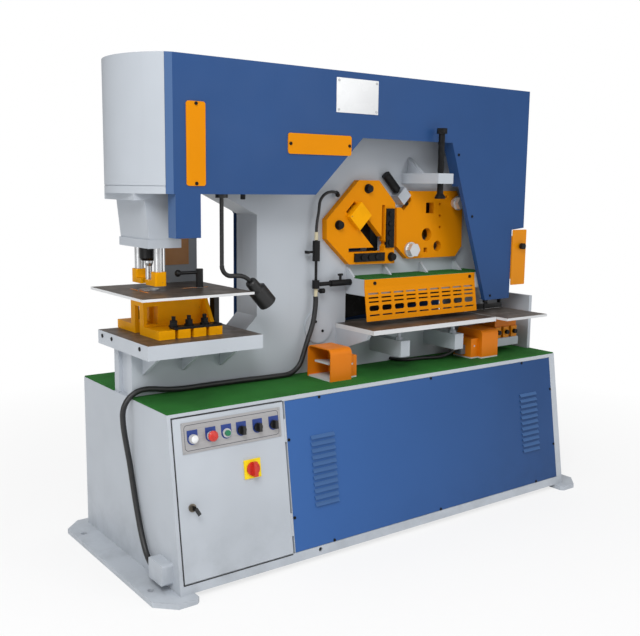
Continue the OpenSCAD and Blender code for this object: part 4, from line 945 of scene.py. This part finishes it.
class IRONWORKER_OT_pilot_lamp(Operator):
    """Domed white lens of the pilot lamp and the control plate's rivets"""

    bl_idname = "ironworker.pilot_lamp"
    bl_label = "Pilot Lamp"

    # Places on the door in millimetres: along, down from the top edge, and out.
    LENS = (94, 98, 19)
    PLATE_MIDDLE = 93
    RIVETS = ((58, 474), (-51, 51))
    RIVET_OUT = 3

    def execute(self, context):
        radius = sizes().lens
        clear_selection()
        bpy.ops.mesh.primitive_uv_sphere_add(segments=28, ring_count=14, radius=radius)
        lens = bpy.context.object
        lens.name = "pilot_lens"
        bpy.ops.object.mode_set(mode="EDIT")
        bpy.ops.mesh.select_all(action="SELECT")
        bpy.ops.mesh.bisect(plane_co=(0, 0, 0), plane_no=(0, 0, 1), clear_inner=True, use_fill=True)
        bpy.ops.mesh.select_all(action="SELECT")
        bpy.ops.transform.resize(value=(1, 1, 0.45))
        bpy.ops.object.mode_set(mode="OBJECT")
        bpy.ops.object.shade_smooth_by_angle(angle=math.radians(50))
        along, down, out = self.LENS
        lens = copies(lens, "pilot_lens", [on_front(along, SLOPE - down, out)], FRONT_SLOPE)
        settle(lens, "door", moulded("lens_white", colours().lens, 0.2))
        head = turned_head("plate_rivet", 0.0035, 0.0018, 0)
        middle = SLOPE - self.PLATE_MIDDLE
        corners = [
            on_front(x, middle + rise, self.RIVET_OUT)
            for x in self.RIVETS[0] for rise in self.RIVETS[1]
        ]
        settle(copies(head, "control_plate_rivets", corners, FRONT_SLOPE), "door",
               steel("plate_rivet_steel", shade(colours().steel, 0.7)))
        return {"FINISHED"}


class IRONWORKER_OT_door_seal(Operator):
    """Rubber lip round the door's opening, and the key in the lock"""

    bl_idname = "ironworker.door_seal"
    bl_label = "Door Seal And Key"

    # The door's opening on the sloping front, in millimetres.
    LOW, HIGH, LEFT, RIGHT_END = 57, SLOPE - 16, 18, 494
    LIP = 4
    PROUD = 1.2
    # The key's place on the door, how far out it is, its turn, and its bow in metres.
    KEY = (72, 0.487 * SLOPE, 30)
    KEY_TURN = 0.5
    BOW_CORNER = (-0.0075, -0.029, 0.0)
    BOW_SIZE = (0.015, 0.031, 0.003)

    def execute(self, context):
        wide, high = self.RIGHT_END - self.LEFT, self.HIGH - self.LOW
        strips = (
            ("left", (self.LEFT - self.LIP, self.LOW - self.LIP), (self.LIP, high + 2 * self.LIP)),
            ("bottom", (self.LEFT, self.LOW - self.LIP), (wide, self.LIP)),
            ("top", (self.LEFT, self.HIGH), (wide, self.LIP)),
        )
        lean = Matrix((
            (1, 0, 0, 0),
            (0, SLOPE_UP.y, FRONT_SLOPE.y, 0),
            (0, SLOPE_UP.z, FRONT_SLOPE.z, 0),
            (0, 0, 0, 1),
        ))
        rubber = rubber_sheath("seal_rubber", colours().rubber)
        for name, place, size in strips:
            block = (size[0] / 1000, size[1] / 1000, self.PROUD / 1000)
            strip = bevelled_plate(f"door_seal_{name}", (0, 0, 0), block, 0.0004)
            strip.data.transform(Matrix.Translation(on_front(*place)) @ lean)
            settle(strip, "machine", rubber)
        bow = bevelled_plate("door_key", self.BOW_CORNER, self.BOW_SIZE, 0.0014)
        turn = Matrix.Rotation(self.KEY_TURN, 4, "Z")
        bow.data.transform(Matrix.Translation(on_front(*self.KEY)) @ lean @ turn)
        settle(bow, "door_lock", moulded("key_black", colours().key, 0.35))
        return {"FINISHED"}


class IRONWORKER_OT_lamp_glass(Operator):
    """Frosted glass in the work lamp's shade"""

    bl_idname = "ironworker.lamp_glass"
    bl_label = "Lamp Glass"

    # The neck ends in an arc that turns towards the shade: start and radius in millimetres.
    NECK = (398, -216, 1135)
    NECK_RADIUS = 80
    TILT = math.radians(48)
    ALONG_SHADE = 0.086
    GLASS_RADIUS = 0.0335
    GLASS_SIDES = 32

    def execute(self, context):
        axis = Vector((math.cos(self.TILT), 0, -math.sin(self.TILT)))
        x, y, z = self.NECK
        neck = at(
            x + self.NECK_RADIUS * math.sin(self.TILT), y,
            z - self.NECK_RADIUS * (1 - math.cos(self.TILT)),
        )
        glass = turned_head("lamp_glass", self.GLASS_RADIUS, 0.006, 0, self.GLASS_SIDES)
        glass = copies(glass, "lamp_glass", [neck + axis * self.ALONG_SHADE], axis)
        frosted = moulded("frosted_glass", colours().glass, 0.3)
        settle(glass, "machine", frosted)
        return {"FINISHED"}


class IRONWORKER_OT_stage(Operator):
    """Pale floor, soft studio light and the camera"""

    bl_idname = "ironworker.stage"
    bl_label = "Stage"

    # Name, place, aim, width in metres and power in watts.
    LIGHTS = (
        ("key", (-3.8, -3.9, 5.2), (0.0, 0, 0.9), 3.0, 250),
        ("fill", (2.6, -5.4, 2.6), (0.2, 0, 0.9), 3.6, 62),
        ("top", (0.2, 0.3, 5.2), (0, 0, 0), 4.0, 95),
        ("side", (-3.4, -0.8, 1.0), (-0.4, -0.1, 1.10), 1.4, 9),
    )
    FLOOR_GREY = (0.86, 0.86, 0.86)
    WORLD_LIGHT = 0.40

    def execute(self, context):
        scene = context.scene
        setup = scene.ironworker_stage
        self.floor(setup)
        self.world(scene)
        for light in self.LIGHTS:
            self.light(*light)
        self.camera(scene, setup)
        scene.view_settings.view_transform = "Standard"
        return {"FINISHED"}

    def floor(self, setup):
        clear_selection()
        bpy.ops.mesh.primitive_circle_add(vertices=96, radius=setup.floor, fill_type="NGON")
        floor = bpy.context.object
        floor.name = "studio_floor"
        finish = Finish("studio_floor")
        finish.paint(self.FLOOR_GREY)
        finish.shine(0.9)
        glow = finish.node("ShaderNodeEmission")
        glow.inputs["Color"].default_value = (1, 1, 1, 1)
        mixed = finish.node("ShaderNodeMixShader")
        away = finish.node("ShaderNodeVectorMath", operation="LENGTH")
        finish.join(finish.place, away.inputs[0])
        ray = finish.node("ShaderNodeLightPath")
        seen = finish.math("MAXIMUM", ray.outputs["Is Camera Ray"], ray.outputs["Is Glossy Ray"])
        share = finish.fit(away.outputs["Value"], 1.5, 3.2, 0.72, 1.0)
        finish.join(finish.math("MULTIPLY", share, seen), mixed.inputs["Fac"])
        finish.join(finish.shader.outputs["BSDF"], mixed.inputs[1])
        finish.join(glow.outputs["Emission"], mixed.inputs[2])
        finish.join(mixed.outputs["Shader"], finish.tree.nodes["Material Output"].inputs["Surface"])
        floor.data.materials.append(finish.material)

    def world(self, scene):
        world = bpy.data.worlds.new("studio")
        scene.world = world
        world.use_nodes = True
        tree = world.node_tree
        back = tree.nodes["Background"]
        back.inputs["Color"].default_value = (1, 1, 1, 1)
        ray = tree.nodes.new("ShaderNodeLightPath")
        most = tree.nodes.new("ShaderNodeMath")
        most.operation = "MAXIMUM"
        tree.links.new(ray.outputs["Is Camera Ray"], most.inputs[0])
        tree.links.new(ray.outputs["Is Transmission Ray"], most.inputs[1])
        level = tree.nodes.new("ShaderNodeMapRange")
        tree.links.new(most.outputs["Value"], level.inputs["Value"])
        level.inputs["To Min"].default_value = self.WORLD_LIGHT
        level.inputs["To Max"].default_value = 1.0
        tree.links.new(level.outputs["Result"], back.inputs["Strength"])

    def light(self, name, place, aim, size, power):
        lamp = bpy.data.lights.new(name, "AREA")
        lamp.size = size
        lamp.energy = power
        holder = bpy.data.objects.new(name, lamp)
        holder.location = place
        holder.rotation_euler = (Vector(aim) - Vector(place)).to_track_quat("-Z", "Y").to_euler()
        bpy.context.scene.collection.objects.link(holder)

    def camera(self, scene, setup):
        turn, drop = setup.turn, -setup.drop
        ahead = Vector((
            math.sin(turn) * math.cos(drop), math.cos(turn) * math.cos(drop), math.sin(drop)
        ))
        right = Vector((math.cos(turn), -math.sin(turn), 0))
        over = right.cross(ahead)
        level = right * math.cos(setup.roll) + over * math.sin(setup.roll)
        over = over * math.cos(setup.roll) - right * math.sin(setup.roll)
        lens = bpy.data.cameras.new("photo_camera")
        lens.lens = setup.lens
        lens.sensor_width = 36
        lens.clip_end = 100
        camera = bpy.data.objects.new("photo_camera", lens)
        camera.matrix_world = Matrix((
            (level.x, over.x, -ahead.x, setup.eye[0]),
            (level.y, over.y, -ahead.y, setup.eye[1]),
            (level.z, over.z, -ahead.z, setup.eye[2]),
            (0, 0, 0, 1),
        ))
        scene.collection.objects.link(camera)
        scene.camera = camera


class IRONWORKER_PT_looks(Panel):
    """Lists the pieces of the ironworker's looks"""

    bl_label = "Ironworker"
    bl_space_type = "VIEW_3D"
    bl_region_type = "UI"
    bl_category = "Ironworker"

    def draw(self, context):
        for step in STEPS:
            self.layout.operator(step.bl_idname)
        for group in ("ironworker_colours", "ironworker_sizes", "ironworker_stage"):
            box = self.layout.box()
            settings = getattr(context.scene, group)
            for key in settings.bl_rna.properties.keys():
                if key not in ("rna_type", "name"):
                    box.prop(settings, key)


STEPS = (
    IRONWORKER_OT_stage,
    IRONWORKER_OT_cords,
    IRONWORKER_OT_finishes,
    IRONWORKER_OT_name_plate,
    IRONWORKER_OT_screws,
    IRONWORKER_OT_pilot_lamp,
    IRONWORKER_OT_door_seal,
    IRONWORKER_OT_lamp_glass,
)
GROUPS = (IronworkerColours, IronworkerSizes, IronworkerStage)


def register():
    for kind in (*GROUPS, *STEPS, IRONWORKER_PT_looks):
        bpy.utils.register_class(kind)
    bpy.types.Scene.ironworker_colours = PointerProperty(type=IronworkerColours)
    bpy.types.Scene.ironworker_sizes = PointerProperty(type=IronworkerSizes)
    bpy.types.Scene.ironworker_stage = PointerProperty(type=IronworkerStage)


def unregister():
    for key in ("ironworker_colours", "ironworker_sizes", "ironworker_stage"):
        delattr(bpy.types.Scene, key)
    for kind in reversed((*GROUPS, *STEPS, IRONWORKER_PT_looks)):
        bpy.utils.unregister_class(kind)


def main():
    register()
    clear_selection()
    for step in STEPS:
        group, name = step.bl_idname.split(".")
        getattr(getattr(bpy.ops, group), name)()


if __name__ == "__main__":
    main()
